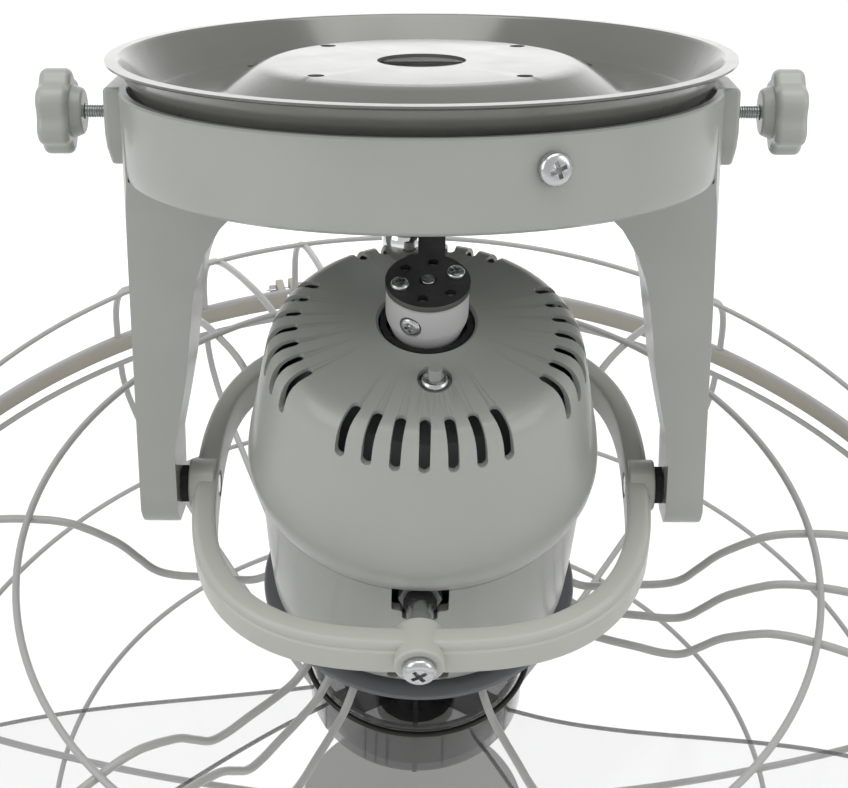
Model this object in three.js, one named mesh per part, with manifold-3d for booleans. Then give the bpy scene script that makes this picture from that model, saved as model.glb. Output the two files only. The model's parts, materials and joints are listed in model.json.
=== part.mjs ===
// Orbital ceiling fan: a fan head in a gimbal, hung from a round ceiling dish, whose gear-driven
// crank walks the head round a fixed point so that the air stream sweeps the whole room.
// Millimetres, +Z up. The origin is the centre of the ceiling dish's rim, in the ceiling's plane.
import * as THREE from "three";
import { mergeVertices } from "three/addons/utils/BufferGeometryUtils.js";
import Module from "manifold-3d";

const wasm = await Module();
wasm.setup();

// ---------------------------------------------------------------- driving dimensions
const gap = 0.35; // between pieces that rest on or pass through each other
const roundSides = 24; // facets of a large round shell
const smallSides = 8; // facets of a boss, pin or hole
const wireSides = 3; // facets of a spoke

// ceiling dish
const dishRimRadius = 91.5;
const dishWallDepth = 9;
const dishFit = 1.6; // all round, where the dish's foot goes into the ring
const dishSheet = 1.2;
const dishFloorDepth = 12.5;
const dishRidgeHeight = 1.4;
const domeTopDepth = 3.5; // the mounting boss stays this far below the rim plane
const domeTopRadius = 47;
const domeBaseRadius = 59.5;
const cableHoleRadius = 13;
const ceilingScrewSpacing = 58;
const ceilingScrewRadius = 2.3;
const floorSlotRadius = 72;
const floorSlotWidth = 4;
const floorSlotArc = 26; // degrees

// hanging yoke: a ring with two arms, one casting
const ringTopDepth = 8.7;
const ringBottomDepth = 34.6;
const ringRadius = 88;
const ringDraft = 0.9; // the ring is this much narrower at its top
const ringWall = 2.6;
const ringLip = 3; // inward lip at the ring's lower edge
const padReach = 3.9; // the side pads stand this far out of the ring
const padDrop = 31; // depth of the pads' pointed ends
const pivotDepth = 135.3; // depth of the gimbal's side pins
const armThickness = 11.8; // at the pins
const armEndRadius = 11.7;
const armShoulderThickness = 21;
const armRootThickness = 39;
const armRootWidth = 27; // half-width, front to rear, where the arm leaves the ring

// thumb screws on the ring's sides
const thumbScrewDepth = 17.5;
const thumbThreadRadius = 2;
const thumbThreadLength = 18;
const thumbShowing = 7.5; // thread that shows between pad and knob
const knobRadius = 12.6;
const knobLobes = 7;
const knobLobeDepth = 1.5;
const knobThickness = 9.5;
const knobHubRadius = 6.8;
const knobHubLength = 3;

// fixed bridge and stem, which hold the orbit's centre
const bridgeWidth = 30;
const bridgeThickness = 2.5;
const bridgeDepth = 24;
const bridgeTurn = 23; // degrees right of front, as the ring screw sits
const bridgeFlange = 10.5;
const ringScrewHeadRadius = 3.4;
const stemRadius = 3.2;
const stemFlangeRadius = 9;
const stemOffset = -4.5; // the stem hangs this far left of the middle
const stemClearance = 1; // the stem's end clears all that the crank sweeps by this much

// gimbal ring: a rounded-square hoop that tilts on the arms and carries the head
const restTilt = 23.8; // degrees, the head's top leans to the front
const restRoll = 1.5; // degrees, and a little to the right
const gimbalMeanRadius = 74.6;
const gimbalSquareness = 3.5; // the hoop is this much flatter at its four pivots
const gimbalWall = 7.6;
const gimbalHeight = 12.2;
const gimbalChamfer = 1.3;
const sideBossRadius = 8.4;
const sideBossReach = 1.6;
const frontBossRadius = 7.3;
const frontBossReach = 2.6;
const armGap = 2.9; // between the gimbal's side boss and the arm, filled by a washer
const pinRadius = 3;
const pinHeadRadius = 4.1;
const pinHeadHeight = 2.6;

// motor housing, heights along the head's axis from the gimbal's centre
const coverTop = 67.6;
const coverRadius = 54;
const coverBottom = 8.6;
const coverWall = 2.2;
const coverHoleRadius = 14.1;
const coverCrown = 3.9; // fall of the crown from the hole to the vents
const coverShoulderRadius = 46;
const coverShoulderDrop = 10.8; // crown to skirt
const ventCount = 7;
const ventPitch = 10; // degrees
const ventWidth = 3;
const ventInner = 37; // the vents start here on the crown and run down to ventLow
const ventLow = 52.5;
const housingTopRadius = 49.4;
const housingBottomRadius = 47.6;
const housingBottom = -41;
const housingWall = 2.2;
const windowWidth = 17;
const windowDrop = 16;
const bottomSlotWidth = 3;
const bottomSlotHeight = 6;
const bottomSlotPitch = 10.5; // degrees

// motor
const shaftRadius = 4;
const statorRadius = 38;
const statorBore = 22;
const statorHeight = 20;
const statorMiddle = -13;
const windingRise = 8;
const rotorRadius = 21.4;
const frameWall = 3;
const trunnionRadius = 8;
const bushRadius = 5;
const bearingRadius = 8.5;
const bearingHeight = 6;

// reduction gears, from the motor's worm to the crank
const toothDepth = 1.6;
const wormRadius = 4.6;
const wormLength = 12;
const wormHeight = 25; // height of the first wheel's axis
const crossWheelTeeth = 18;
const crossWheelRadius = 9.5;
const crossWheelWidth = 5;
const secondWormPlace = 17; // along the cross shaft
const idlerTeeth = 12;
const idlerRadius = 7.5;
const pinionTeeth = 6;
const pinionRadius = 5;
const gearFace = 5;
const outputHeight = 36;
const crossStarts = 2; // threads on the motor's worm
const idlerStarts = 4; // threads on the second worm

// crank above the cover
const crankBossRadius = 12.4;
const crankScrewShank = 1.5;
const crankScrewDepth = 5;
const crankBossTop = 80.3;
const crankDiscThickness = 1.9;
const crankScrewCircle = 8.4;
const crankScrewRadius = 2.6;
const armWidth = 8;
const ballRadius = 7.5;
const ballHeight = 79.5; // above the gimbal's centre, on the fixed stem's line
const ballStudRadius = 2.4;
const ballStudLength = 10.4;

// guard, depths below the gimbal's centre along the head's axis
const spokeRadius = 1.2;
const hoopRadius = 1.2;
const fineHoopRadius = 1;
const wireLap = 1.15; // crossing wires are pressed this close when they are welded
const spokeGroups = [85, -35, -155]; // degrees, middles of the groups of three
const spokePitch = 10.5;
const singleSpokes = [25, 145, -95];
const hubDiscRadius = 51;
const hubDiscDepth = 42.4;
const hubDiscThickness = 2;
const spokeHubRadius = 47;
const spokeFlatDepth = 53;
const spokeFlatRadius = 90;
const kneeRadius = 107;
const innerHoopRadius = 129.6;
const innerHoopDepth = 30.4;
const middleHoopRadius = 192.8;
const middleHoopDepth = 51.1;
const guardRadius = 224.5;
const guardDepth = 104.4;
const bandHeight = 9.4;
const bandWall = 1.6;
const frontOuterHoopRadius = 183.8;
const frontOuterHoopDepth = 146.4;
const frontInnerHoopRadius = 132;
const frontInnerHoopDepth = 162.7;
const frontDiscRadius = 42;
const frontDiscDepth = 174;
const clipAzimuth = -165; // degrees
const clampSplit = 2; // slit in the band
const earThickness = 3.5;
const earHalfHeight = 4;
const earReach = 9; // the ears stand this far out of the band
const earBoltReach = 5;
const clampBoltRadius = 1.6;
const clampHeadHeight = 2.4;
const clampNutRadius = 3.4;
const clampNutHeight = 3;
const bandGroove = 0.8;
const bandSides = 32; // facets of the band

// fan
const fanRadius = 200;
const hubCupRadius = 43;
const hubCupTop = -77;
const hubCupHeight = 26;
const hubWall = 2;
const hubRibs = 6;
const bladeCount = 3;
const bladeFirst = -68; // degrees
const bladePitch = 24; // degrees
const bladeChord = 128;
const bladeThickness = 2.2;
const spinnerRadius = 14;
const spinnerHeight = 16;

// ---------------------------------------------------------------- colours
const finish = (color, roughness, metalness) =>
  new THREE.MeshStandardMaterial({ color, roughness, metalness });
const greyPaint = finish(0xa1a49c, 0.45, 0.1);
const palePaint = finish(0xafb0a8, 0.4, 0.1);
const dishPaint = finish(0x8b8d86, 0.4, 0.3);
const whitePlastic = finish(0xd2d3cf, 0.45, 0);
const darkSteel = finish(0x2c2d2b, 0.5, 0.7);
const zincSteel = finish(0xb9bbbc, 0.3, 0.9);
const chromeSteel = finish(0xd8dadc, 0.1, 1);
const blackRubber = finish(0x181818, 0.8, 0);
const wirePaint = finish(0xa6a8a8, 0.4, 0.4);
const bandPlastic = finish(0xa8a294, 0.55, 0);
const discPaint = finish(0x74767a, 0.5, 0.2);
const copper = finish(0xb06a3a, 0.4, 0.8);
const laminations = finish(0x77797c, 0.5, 0.8);
const gearPlastic = finish(0xe6e2d3, 0.5, 0);
const brass = finish(0xb89a55, 0.35, 0.9);
const smokyPlastic = finish(0x6f6c68, 0.15, 0);

// ---------------------------------------------------------------- helpers
const radians = THREE.MathUtils.degToRad;
const { sin, cos, PI, hypot, atan2, max, min } = Math;

// A closed three.js geometry as a solid that can be joined and cut, with its faces turned outwards.
function solid(geometry) {
  const bare = geometry.clone();
  bare.deleteAttribute("normal");
  bare.deleteAttribute("uv");
  const merged = mergeVertices(bare, 1e-4);
  const corners = merged.getAttribute("position");
  const faces = [];
  let volume = 0;
  const a = new THREE.Vector3();
  const b = new THREE.Vector3();
  const c = new THREE.Vector3();
  for (let i = 0; i < merged.index.count; i += 3) {
    const [p, q, r] = [0, 1, 2].map((k) => merged.index.getX(i + k));
    if (p === q || q === r || r === p) continue;
    faces.push(p, q, r);
    a.fromBufferAttribute(corners, p);
    b.fromBufferAttribute(corners, q);
    c.fromBufferAttribute(corners, r);
    volume += a.dot(b.cross(c));
  }
  if (volume < 0) faces.reverse();
  return new wasm.Manifold(
    new wasm.Mesh({
      numProp: 3,
      vertProperties: new Float32Array(corners.array),
      triVerts: new Uint32Array(faces),
    }),
  );
}

function geometryOf(body) {
  const mesh = body.getMesh();
  const geometry = new THREE.BufferGeometry();
  geometry.setAttribute("position", new THREE.BufferAttribute(new Float32Array(mesh.vertProperties), 3));
  geometry.setIndex(new THREE.BufferAttribute(new Uint32Array(mesh.triVerts), 1));
  geometry.computeVertexNormals();
  return geometry;
}

const join = (first, ...rest) => rest.reduce((whole, piece) => whole.add(piece), first);
const cut = (first, ...rest) => rest.reduce((whole, piece) => whole.subtract(piece), first);

// A profile of [radius, height] pairs turned about Z.
function turned(profile, sides = roundSides) {
  const points = profile.map(([r, z]) => new THREE.Vector2(r, z));
  const onAxis = profile[0][0] === 0 && profile.at(-1)[0] === 0;
  if (!onAxis) points.push(points[0].clone());
  return new THREE.LatheGeometry(points, sides).rotateX(PI / 2);
}

// A cylinder along Z from height low to height high.
function rod(radius, low, high, sides = smallSides, topRadius = radius) {
  const body = new THREE.CylinderGeometry(topRadius, radius, high - low, sides);
  return body.rotateX(PI / 2).translate(0, 0, (low + high) / 2);
}

// A tube about Z: a cylinder with a bore.
const pipe = (bore, radius, low, high, sides = smallSides) =>
  turned([[bore, low], [radius, low], [radius, high], [bore, high]], sides);

// A block between two corners.
function block(low, high) {
  const size = high.map((value, i) => value - low[i]);
  const middle = high.map((value, i) => (value + low[i]) / 2);
  return new THREE.BoxGeometry(...size).translate(...middle);
}

// A flat outline of [x, y] pairs given a thickness along Z, from 0 up.
function plate(outline, thickness, holes = []) {
  const shape = new THREE.Shape(outline.map(([x, y]) => new THREE.Vector2(x, y)));
  for (const hole of holes) shape.holes.push(new THREE.Path(hole.map(([x, y]) => new THREE.Vector2(x, y))));
  return new THREE.ExtrudeGeometry(shape, { depth: thickness, bevelEnabled: false });
}

const circle = (radius, sides, x = 0, y = 0) =>
  Array.from({ length: sides }, (_, i) => {
    const turn = (2 * PI * i) / sides;
    return [x + radius * cos(turn), y + radius * sin(turn)];
  });

// Turns a body that was drawn along Z so that it lies along X or along Y.
const alongX = (geometry) => geometry.rotateY(PI / 2);
const alongY = (geometry) => geometry.rotateX(-PI / 2);
// Azimuths count from the front (-Y), positive to the right (+X).
const turnTo = (geometry, azimuth) => geometry.rotateZ(radians(azimuth));
const placeAt = (radius, azimuth, height = 0) => [
  radius * sin(radians(azimuth)),
  -radius * cos(radians(azimuth)),
  height,
];

// A bent wire's centre line: straight from corner to corner, with one step for each stretch.
class BentLine extends THREE.Curve {
  constructor(corners) {
    super();
    this.corners = corners;
  }

  getPoint(t) {
    const last = this.corners.length - 1;
    const stretch = min(Math.floor(t * last), last - 1);
    return this.corners[stretch].clone().lerp(this.corners[stretch + 1], t * last - stretch);
  }

  getPointAt(t) {
    return this.getPoint(t);
  }

  getTangentAt(t) {
    return this.getTangent(t);
  }
}

// A wire bent in the upright plane at an azimuth, through a list of [radius, height] pairs.
function wire(points, azimuth, radius, sides) {
  const corners = points.map(([r, z]) => new THREE.Vector3(...placeAt(r, azimuth, z)));
  const section = new THREE.Shape(circle(radius, sides).map(([x, y]) => new THREE.Vector2(x, y)));
  const sweep = { steps: corners.length - 1, bevelEnabled: false, extrudePath: new BentLine(corners) };
  return new THREE.ExtrudeGeometry(section, sweep);
}

// A wire hoop about Z.
const hoop = (radius, height, wireRadius, sides = 4, segments = 24) =>
  turned(
    circle(wireRadius, sides).map(([x, y]) => [radius + x, height + y]),
    segments,
  );

// A pan-head screw, its seat at height 0 and its shank below.
function panScrew(headRadius, headHeight, shankRadius, shankLength) {
  const crown = [
    [0, 0],
    [headRadius, 0],
    [headRadius, headHeight * 0.45],
    [headRadius * 0.7, headHeight],
    [0, headHeight],
  ];
  return join(solid(turned(crown, 8)), solid(rod(shankRadius, -shankLength, headHeight * 0.3, 6)));
}

const moved = (body, at, turn = [0, 0, 0]) => {
  const matrix = new THREE.Matrix4().makeRotationFromEuler(new THREE.Euler(...turn.map(radians)));
  matrix.setPosition(...at);
  return solid(geometryOf(body).applyMatrix4(matrix));
};

function add(group, name, body, material) {
  const mesh = new THREE.Mesh(geometryOf(body), material);
  mesh.name = name;
  group.add(mesh);
}

// ---------------------------------------------------------------- ceiling side
const ceiling = new THREE.Group();

const dishWallFoot = ringRadius - ringDraft - ringWall - dishFit;
const dishFloorEdge = dishWallFoot - 1;

// Pressed dish: sloped wall, ridged floor and a raised middle that is screwed to the ceiling box.
function makeDish() {
  const t = dishSheet;
  const ridge = dishFloorDepth - dishRidgeHeight;
  const top = [
    [dishRimRadius, 0],
    [dishWallFoot, -dishWallDepth],
    [dishFloorEdge, -dishFloorDepth],
    [dishFloorEdge - 5, -dishFloorDepth],
    [dishFloorEdge - 7, -ridge],
    [dishFloorEdge - 11, -ridge],
    [dishFloorEdge - 13, -dishFloorDepth],
    [domeBaseRadius, -dishFloorDepth],
    [domeTopRadius + 1.5, -domeTopDepth - 0.8],
    [domeTopRadius - 1, -domeTopDepth],
    [cableHoleRadius, -domeTopDepth],
  ];
  const rimTop = [dishRimRadius - t, 0];
  const inner = top.slice(1).map(([r, z], i) => [i < 1 ? r - t : r, z]);
  const outer = top.filter((_, i) => i < 3 || i > 6).map(([r, z], i) => [r, i === 0 ? z : z - t]);
  const body = solid(turned([...outer, ...[...inner].reverse(), rimTop]));
  const half = ceilingScrewSpacing / 2;
  const holes = [[1, 1], [1, -1], [-1, 1], [-1, -1]].map(([x, y]) =>
    solid(rod(ceilingScrewRadius, -dishFloorDepth - 3, 3).translate(x * half, y * half, 0)),
  );
  // Curved slots let the hooks of the wiring cover through the floor, left and right.
  const slots = [90, -90].map((middle) => {
    const arc = [];
    for (const side of [1, -1])
      for (let i = 0; i <= 6; i++) {
        const turn = middle + side * floorSlotArc * (i / 6 - 0.5);
        const [x, y] = placeAt(floorSlotRadius + (side * floorSlotWidth) / 2, turn);
        arc.push([x, y]);
      }
    return solid(plate(arc, 8).translate(0, 0, -dishFloorDepth - 4));
  });
  return cut(body, ...holes, ...slots);
}

// Outline of one arm, seen from the front, as [distance from the middle, height] pairs.
const padFace = ringRadius + padReach;
const armOuterFoot = gimbalMeanRadius - gimbalSquareness + sideBossReach + armGap + armThickness;
const armInnerFoot = armOuterFoot - armThickness;

function makeArm(side) {
  const foot = -(pivotDepth + armEndRadius);
  const front = [
    [padFace, -ringTopDepth],
    [padFace, -padDrop],
    [padFace - 1.6, -ringBottomDepth - 6],
    [padFace - 2, -pivotDepth * 0.6],
    [armOuterFoot, -pivotDepth],
    [armOuterFoot - 0.6, foot],
    [armInnerFoot, foot],
    [armInnerFoot, -pivotDepth + armEndRadius + 4],
    [armInnerFoot - 4.6, -pivotDepth + 35],
    [armInnerFoot - 6.2, -pivotDepth + 52],
    [padFace - 2 - armShoulderThickness - 3, -ringBottomDepth - 36],
    [padFace - 2 - armShoulderThickness - 6, -ringBottomDepth - 24],
    [padFace - armRootThickness + 5, -ringBottomDepth - 13],
    [padFace - armRootThickness, -ringBottomDepth - 4],
    [padFace - armRootThickness - 2, -ringBottomDepth + 1],
    [ringRadius - ringWall, -ringBottomDepth + 1],
    [ringRadius - ringWall, -ringTopDepth],
  ].map(([x, z]) => [x, -z]);
  const faces = plate(front, 2 * armRootWidth)
    .translate(0, 0, -armRootWidth)
    .rotateX(-PI / 2);
  // Seen from the side the arm narrows to a round end about the pin.
  const profile = [[-armRootWidth, -ringTopDepth], [armRootWidth, -ringTopDepth]];
  const flank = [[armRootWidth, -ringBottomDepth], [19, -ringBottomDepth - 15], [15, -pivotDepth * 0.55]];
  profile.push(...flank);
  for (let i = 0; i <= 8; i++) {
    const turn = (PI * i) / 8;
    profile.push([armEndRadius * cos(turn), -pivotDepth - armEndRadius * sin(turn)]);
  }
  profile.push(...flank.reverse().map(([y, z]) => [-y, z]));
  const sides = plate(profile, padFace + 5).rotateX(PI / 2).rotateZ(PI / 2);
  const arm = solid(faces).intersect(solid(sides));
  const pinBore = solid(alongX(rod(pinRadius + gap, 0, padFace + 5)).translate(0, 0, -pivotDepth));
  const headBore = alongX(rod(pinHeadRadius + gap, armOuterFoot - pinHeadHeight - gap, padFace + 5));
  const body = cut(arm, pinBore, solid(headBore.translate(0, 0, -pivotDepth)));
  return side > 0 ? body : moved(body, [0, 0, 0], [0, 0, 180]);
}

// The flat pads for the thumb screws, pointed at their lower ends.
function makePad(side) {
  const half = 12;
  const outline = [
    [-half, -ringTopDepth],
    [half, -ringTopDepth],
    [half, -padDrop + 10],
    [0, -padDrop - 2],
    [-half, -padDrop + 10],
  ];
  const body = plate(outline, padFace - ringRadius + 6).rotateX(PI / 2).rotateZ(PI / 2);
  return solid(body.translate(ringRadius - 6, 0, 0).rotateZ(side > 0 ? 0 : PI));
}

function makeYoke() {
  const r = ringRadius;
  const t = ringWall;
  const shell = solid(
    turned([
      [r, -ringBottomDepth + 1.5],
      [r - 0.2, -ringTopDepth - 12],
      [r - ringDraft, -ringTopDepth],
      [r - ringDraft - t, -ringTopDepth],
      [r - t, -ringBottomDepth + t],
      [r - t - ringLip, -ringBottomDepth + t],
      [r - t - ringLip, -ringBottomDepth],
      [r - 1.2, -ringBottomDepth],
    ]),
  );
  const inside = solid(rod(r - t - ringDraft, -ringBottomDepth + t, 0, roundSides));
  const trim = solid(rod(r + 30, -ringTopDepth, 10));
  const castArms = join(makeArm(1), makeArm(-1), makePad(1), makePad(-1));
  const body = join(shell, cut(castArms, inside, trim));
  const thumbBore = rod(thumbThreadRadius + gap, -padFace - 5, padFace + 5);
  const screwBore = (turn) =>
    solid(rod(1.8 + gap, 0, 120, 10).rotateX(PI / 2).rotateZ(radians(turn)).translate(0, 0, -thumbScrewDepth));
  const thumbHole = solid(alongX(thumbBore).translate(0, 0, -thumbScrewDepth));
  return cut(body, thumbHole, screwBore(bridgeTurn), screwBore(bridgeTurn + 180));
}

// A lobed knob moulded round the head of its screw, drawn along +X.
function makeKnob() {
  const outline = Array.from({ length: 4 * knobLobes }, (_, i) => {
    const turn = (2 * PI * i) / (4 * knobLobes);
    const r = knobRadius - knobLobeDepth * (0.5 - 0.5 * cos(knobLobes * turn));
    return [r * cos(turn), r * sin(turn)];
  });
  const start = padFace + thumbShowing;
  const grip = plate(outline, knobThickness).translate(0, 0, start + knobHubLength);
  const hub = rod(knobHubRadius, start, start + knobHubLength + 1);
  const socket = rod(thumbThreadRadius + gap, start - 1, start + knobHubLength + 5, 12);
  return cut(solid(alongX(grip)).add(solid(alongX(hub))), solid(alongX(socket)));
}

function addThumbScrew(side) {
  const name = side > 0 ? "right" : "left";
  const turn = [0, 0, side > 0 ? 0 : 180];
  const at = [0, 0, -thumbScrewDepth];
  const end = padFace + thumbShowing + knobHubLength + 5 - gap;
  const screw = solid(alongX(rod(thumbThreadRadius, end - thumbThreadLength - 5, end, 12)));
  add(ceiling, "thumb_screw_" + name, moved(screw, at, turn), zincSteel);
  add(ceiling, "thumb_knob_" + name, moved(makeKnob(), at, turn), greyPaint);
}

// Threaded block behind each pad, riveted to the dish, which the thumb screw pulls up to.
const nutFace = ringRadius - ringWall - ringDraft - gap;
function addDishBracket(side) {
  const name = side > 0 ? "right" : "left";
  const low = -thumbScrewDepth - 7;
  const high = -dishFloorDepth - dishSheet - gap;
  const foot = solid(block([nutFace - 16, -8, high - 2], [nutFace - 2.5, 8, high]));
  const wall = solid(block([nutFace - 6.5, -8, low], [nutFace - 2.5, 8, high]));
  const bore = solid(alongX(rod(thumbThreadRadius + gap, 0, 120, 12)).translate(0, 0, -thumbScrewDepth));
  const bracket = cut(join(foot, wall), bore);
  add(ceiling, "dish_bracket_" + name, moved(bracket, [0, 0, 0], [0, 0, side > 0 ? 0 : 180]), dishPaint);
}

const swingRadius = hypot(ballHeight + ballStudLength, Math.abs(stemOffset)) + ballStudRadius / 2;
const stemEnd = -pivotDepth + swingRadius + stemClearance;

// A strap across the ring, bolted to it, and the stem that hangs from its middle.
function addBridge() {
  const reach = nutFace;
  const half = bridgeWidth / 2;
  const low = -bridgeDepth - bridgeThickness;
  const strap = solid(block([-half, -reach + 1, low], [half, reach - 1, -bridgeDepth]));
  const flange = (side) =>
    solid(block([-9, min(side * reach, side * (reach - bridgeThickness)), low], [
      9,
      max(side * reach, side * (reach - bridgeThickness)),
      low + bridgeFlange,
    ]));
  const round = solid(rod(nutFace, low - 5, 0, roundSides));
  const bore = solid(rod(1.8 + gap, -120, 120, 10).rotateX(PI / 2).translate(0, 0, -thumbScrewDepth));
  const body = cut(join(strap, flange(1), flange(-1)), bore).intersect(round);
  const seat = moved(body, [0, 0, 0], [0, 0, bridgeTurn]);
  const stemHole = solid(rod(stemRadius + gap, low - 5, 0).translate(stemOffset, 0, 0));
  add(ceiling, "orbit_bridge", cut(seat, stemHole), zincSteel);
  const stem = solid(
    turned(
      [
        [0, stemEnd],
        [ballStudRadius, stemEnd],
        [stemRadius, stemEnd + 4],
        [stemRadius, low - gap - 2],
        [stemFlangeRadius, low - gap - 2],
        [stemFlangeRadius, low - gap],
        [stemRadius, low - gap],
        [stemRadius, -bridgeDepth + 1],
        [0, -bridgeDepth + 1],
      ],
      smallSides,
    ).translate(stemOffset, 0, 0),
  );
  add(ceiling, "orbit_stem", stem, darkSteel);
  for (const [name, azimuth] of [["front", bridgeTurn], ["rear", bridgeTurn + 180]]) {
    const screw = panScrew(ringScrewHeadRadius, 2.4, 1.8, 9);
    const out = moved(screw, [0, -(ringRadius + gap), 0], [90, 0, 0]);
    add(ceiling, "ring_screw_" + name, moved(out, [0, 0, -thumbScrewDepth], [0, 0, azimuth]), zincSteel);
  }
}

// Shouldered pins through the arms, with a fibre washer between arm and gimbal.
const bossFace = gimbalMeanRadius - gimbalSquareness + sideBossReach;
function addArmPin(side) {
  const name = side > 0 ? "right" : "left";
  const turn = [0, 0, side > 0 ? 0 : 180];
  const at = [0, 0, -pivotDepth];
  const outer = armOuterFoot - gap;
  const shank = solid(alongX(rod(pinRadius, bossFace - 9, outer - 0.5)));
  const head = solid(alongX(rod(pinHeadRadius, outer - pinHeadHeight, outer)));
  add(ceiling, "arm_pin_" + name, moved(join(shank, head), at, turn), zincSteel);
  const washer = solid(alongX(pipe(pinRadius + gap, 6.2, bossFace + gap, armInnerFoot - gap)));
  add(ceiling, "arm_washer_" + name, moved(washer, at, turn), blackRubber);
}

add(ceiling, "ceiling_dish", makeDish(), dishPaint);
add(ceiling, "hanger_yoke", makeYoke(), greyPaint);
addBridge();
for (const side of [1, -1]) {
  addThumbScrew(side);
  addDishBracket(side);
  addArmPin(side);
}

// ---------------------------------------------------------------- gimbal ring
const gimbal = new THREE.Group();
gimbal.position.set(0, 0, -pivotDepth);
gimbal.rotation.x = radians(restTilt);

const gimbalOutline = (radius) =>
  Array.from({ length: roundSides }, (_, i) => {
    const turn = (2 * PI * i) / roundSides;
    const r = radius - gimbalSquareness * cos(4 * turn);
    return [r * cos(turn), r * sin(turn)];
  });
const gimbalFlat = gimbalMeanRadius - gimbalSquareness;
const gimbalInnerFlat = gimbalFlat - gimbalWall;
const frontFace = gimbalFlat + frontBossReach;

function makeGimbal() {
  const half = gimbalHeight / 2;
  const shape = new THREE.Shape(
    gimbalOutline(gimbalMeanRadius - gimbalChamfer).map(([x, y]) => new THREE.Vector2(x, y)),
  );
  const inner = gimbalOutline(gimbalMeanRadius - gimbalWall + gimbalChamfer);
  shape.holes.push(new THREE.Path(inner.map(([x, y]) => new THREE.Vector2(x, y))));
  const band = new THREE.ExtrudeGeometry(shape, {
    depth: gimbalHeight - 2 * gimbalChamfer,
    bevelThickness: gimbalChamfer,
    bevelSize: gimbalChamfer,
    bevelSegments: 1,
  }).translate(0, 0, -half + gimbalChamfer);
  const sideBoss = (side) =>
    solid(alongX(rod(sideBossRadius, gimbalInnerFlat + 1, bossFace)).rotateZ(side > 0 ? 0 : PI));
  const frontBoss = (side) =>
    solid(alongY(rod(frontBossRadius, gimbalInnerFlat - 3, frontFace)).rotateZ(side > 0 ? 0 : PI));
  const body = join(solid(band), sideBoss(1), sideBoss(-1), frontBoss(1), frontBoss(-1));
  const pinBore = solid(alongX(rod(pinRadius + gap, -120, 120)));
  const screwBore = solid(alongY(rod(pinRadius + gap, -120, 120)));
  return cut(body, pinBore, screwBore);
}
add(gimbal, "gimbal_ring", makeGimbal(), palePaint);

// Pivot screws that carry the head at the front and rear of the hoop.
const trunnionEnd = housingTopRadius + 1.5;
for (const [name, azimuth] of [["front", 0], ["rear", 180]]) {
  const screw = panScrew(pinHeadRadius + 0.9, 3, pinRadius, frontFace - trunnionEnd + 10);
  const out = moved(screw, [0, -(frontFace + gap), 0], [90, 0, 0]);
  add(gimbal, "pivot_screw_" + name, moved(out, [0, 0, 0], [0, 0, azimuth]), zincSteel);
}

// ---------------------------------------------------------------- head
const head = new THREE.Group();
head.rotation.y = radians(restRoll);

// The cover's outside, from its crown over the shoulder and down its tapered skirt.
const skirtTop = coverTop - coverShoulderDrop;
const coverOutside = [
  [coverHoleRadius, coverTop],
  [ventInner + ventWidth / 2, coverTop - coverCrown],
  [coverShoulderRadius - 3, coverTop - coverCrown - 1.3],
  [coverShoulderRadius, coverTop - coverCrown - 4],
  [coverShoulderRadius + 1.5, skirtTop],
  [(coverShoulderRadius + coverRadius) / 2 + 1, skirtTop * 0.6],
  [coverRadius, coverBottom],
];

// The cover is a thin shell: the wall stands in at the skirt and hangs down at the crown.
function makeCover() {
  const inside = coverOutside.map(([r, z]) => {
    const slope = min(1, (coverTop - z) / coverShoulderDrop);
    return [r - coverWall * slope, z === coverBottom ? z : z - coverWall * (1 - slope)];
  });
  const shell = solid(turned([...coverOutside, ...inside.reverse()]));
  const half = ventWidth / 2;
  const vents = [];
  for (let group = 0; group < 4; group++)
    for (let i = 0; i < ventCount; i++) {
      const slot = block([-half, -coverRadius, ventLow], [half, -ventInner, coverTop]);
      vents.push(solid(turnTo(slot, 90 * group + ventPitch * (i - (ventCount - 1) / 2))));
    }
  return cut(shell, ...vents);
}

// Lower half of the housing: a cup with windows for the pivots and slots round its bottom edge.
function makeHousing() {
  const t = housingWall;
  const shell = solid(
    turned(
      [
        [housingTopRadius, coverBottom + 5],
        [housingTopRadius, -6],
        [housingTopRadius - 0.8, -22],
        [housingBottomRadius, housingBottom + 2],
        [housingBottomRadius - 2, housingBottom],
        [bearingRadius + 2 + gap, housingBottom],
        [bearingRadius + 2 + gap, housingBottom + t],
        [housingBottomRadius - t - 1, housingBottom + t],
        [housingTopRadius - t - 0.8, -22],
        [housingTopRadius - t, -6],
        [housingTopRadius - t, coverBottom + 5],
      ],
      roundSides,
    ),
  );
  const half = windowWidth / 2;
  const floor = coverBottom - windowDrop;
  const window = join(
    solid(block([-half, 0, floor + 3], [half, 60, coverBottom + 9])),
    solid(block([3 - half, 0, floor], [half - 3, 60, coverBottom + 9])),
  );
  const windows = [0, 180].map((turn) => moved(window, [0, 0, 0], [0, 0, turn]));
  const slots = [];
  for (const middle of [0, 90, 180, 270])
    for (const i of [-1, 0, 1]) {
      const w = bottomSlotWidth / 2;
      const low = housingBottom + t + 1;
      const slot = block([-w, 0.8 * housingBottomRadius, low], [w, 60, low + bottomSlotHeight]);
      slots.push(solid(turnTo(slot, middle + 180 + i * bottomSlotPitch)));
    }
  return cut(shell, ...windows, ...slots);
}

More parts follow.
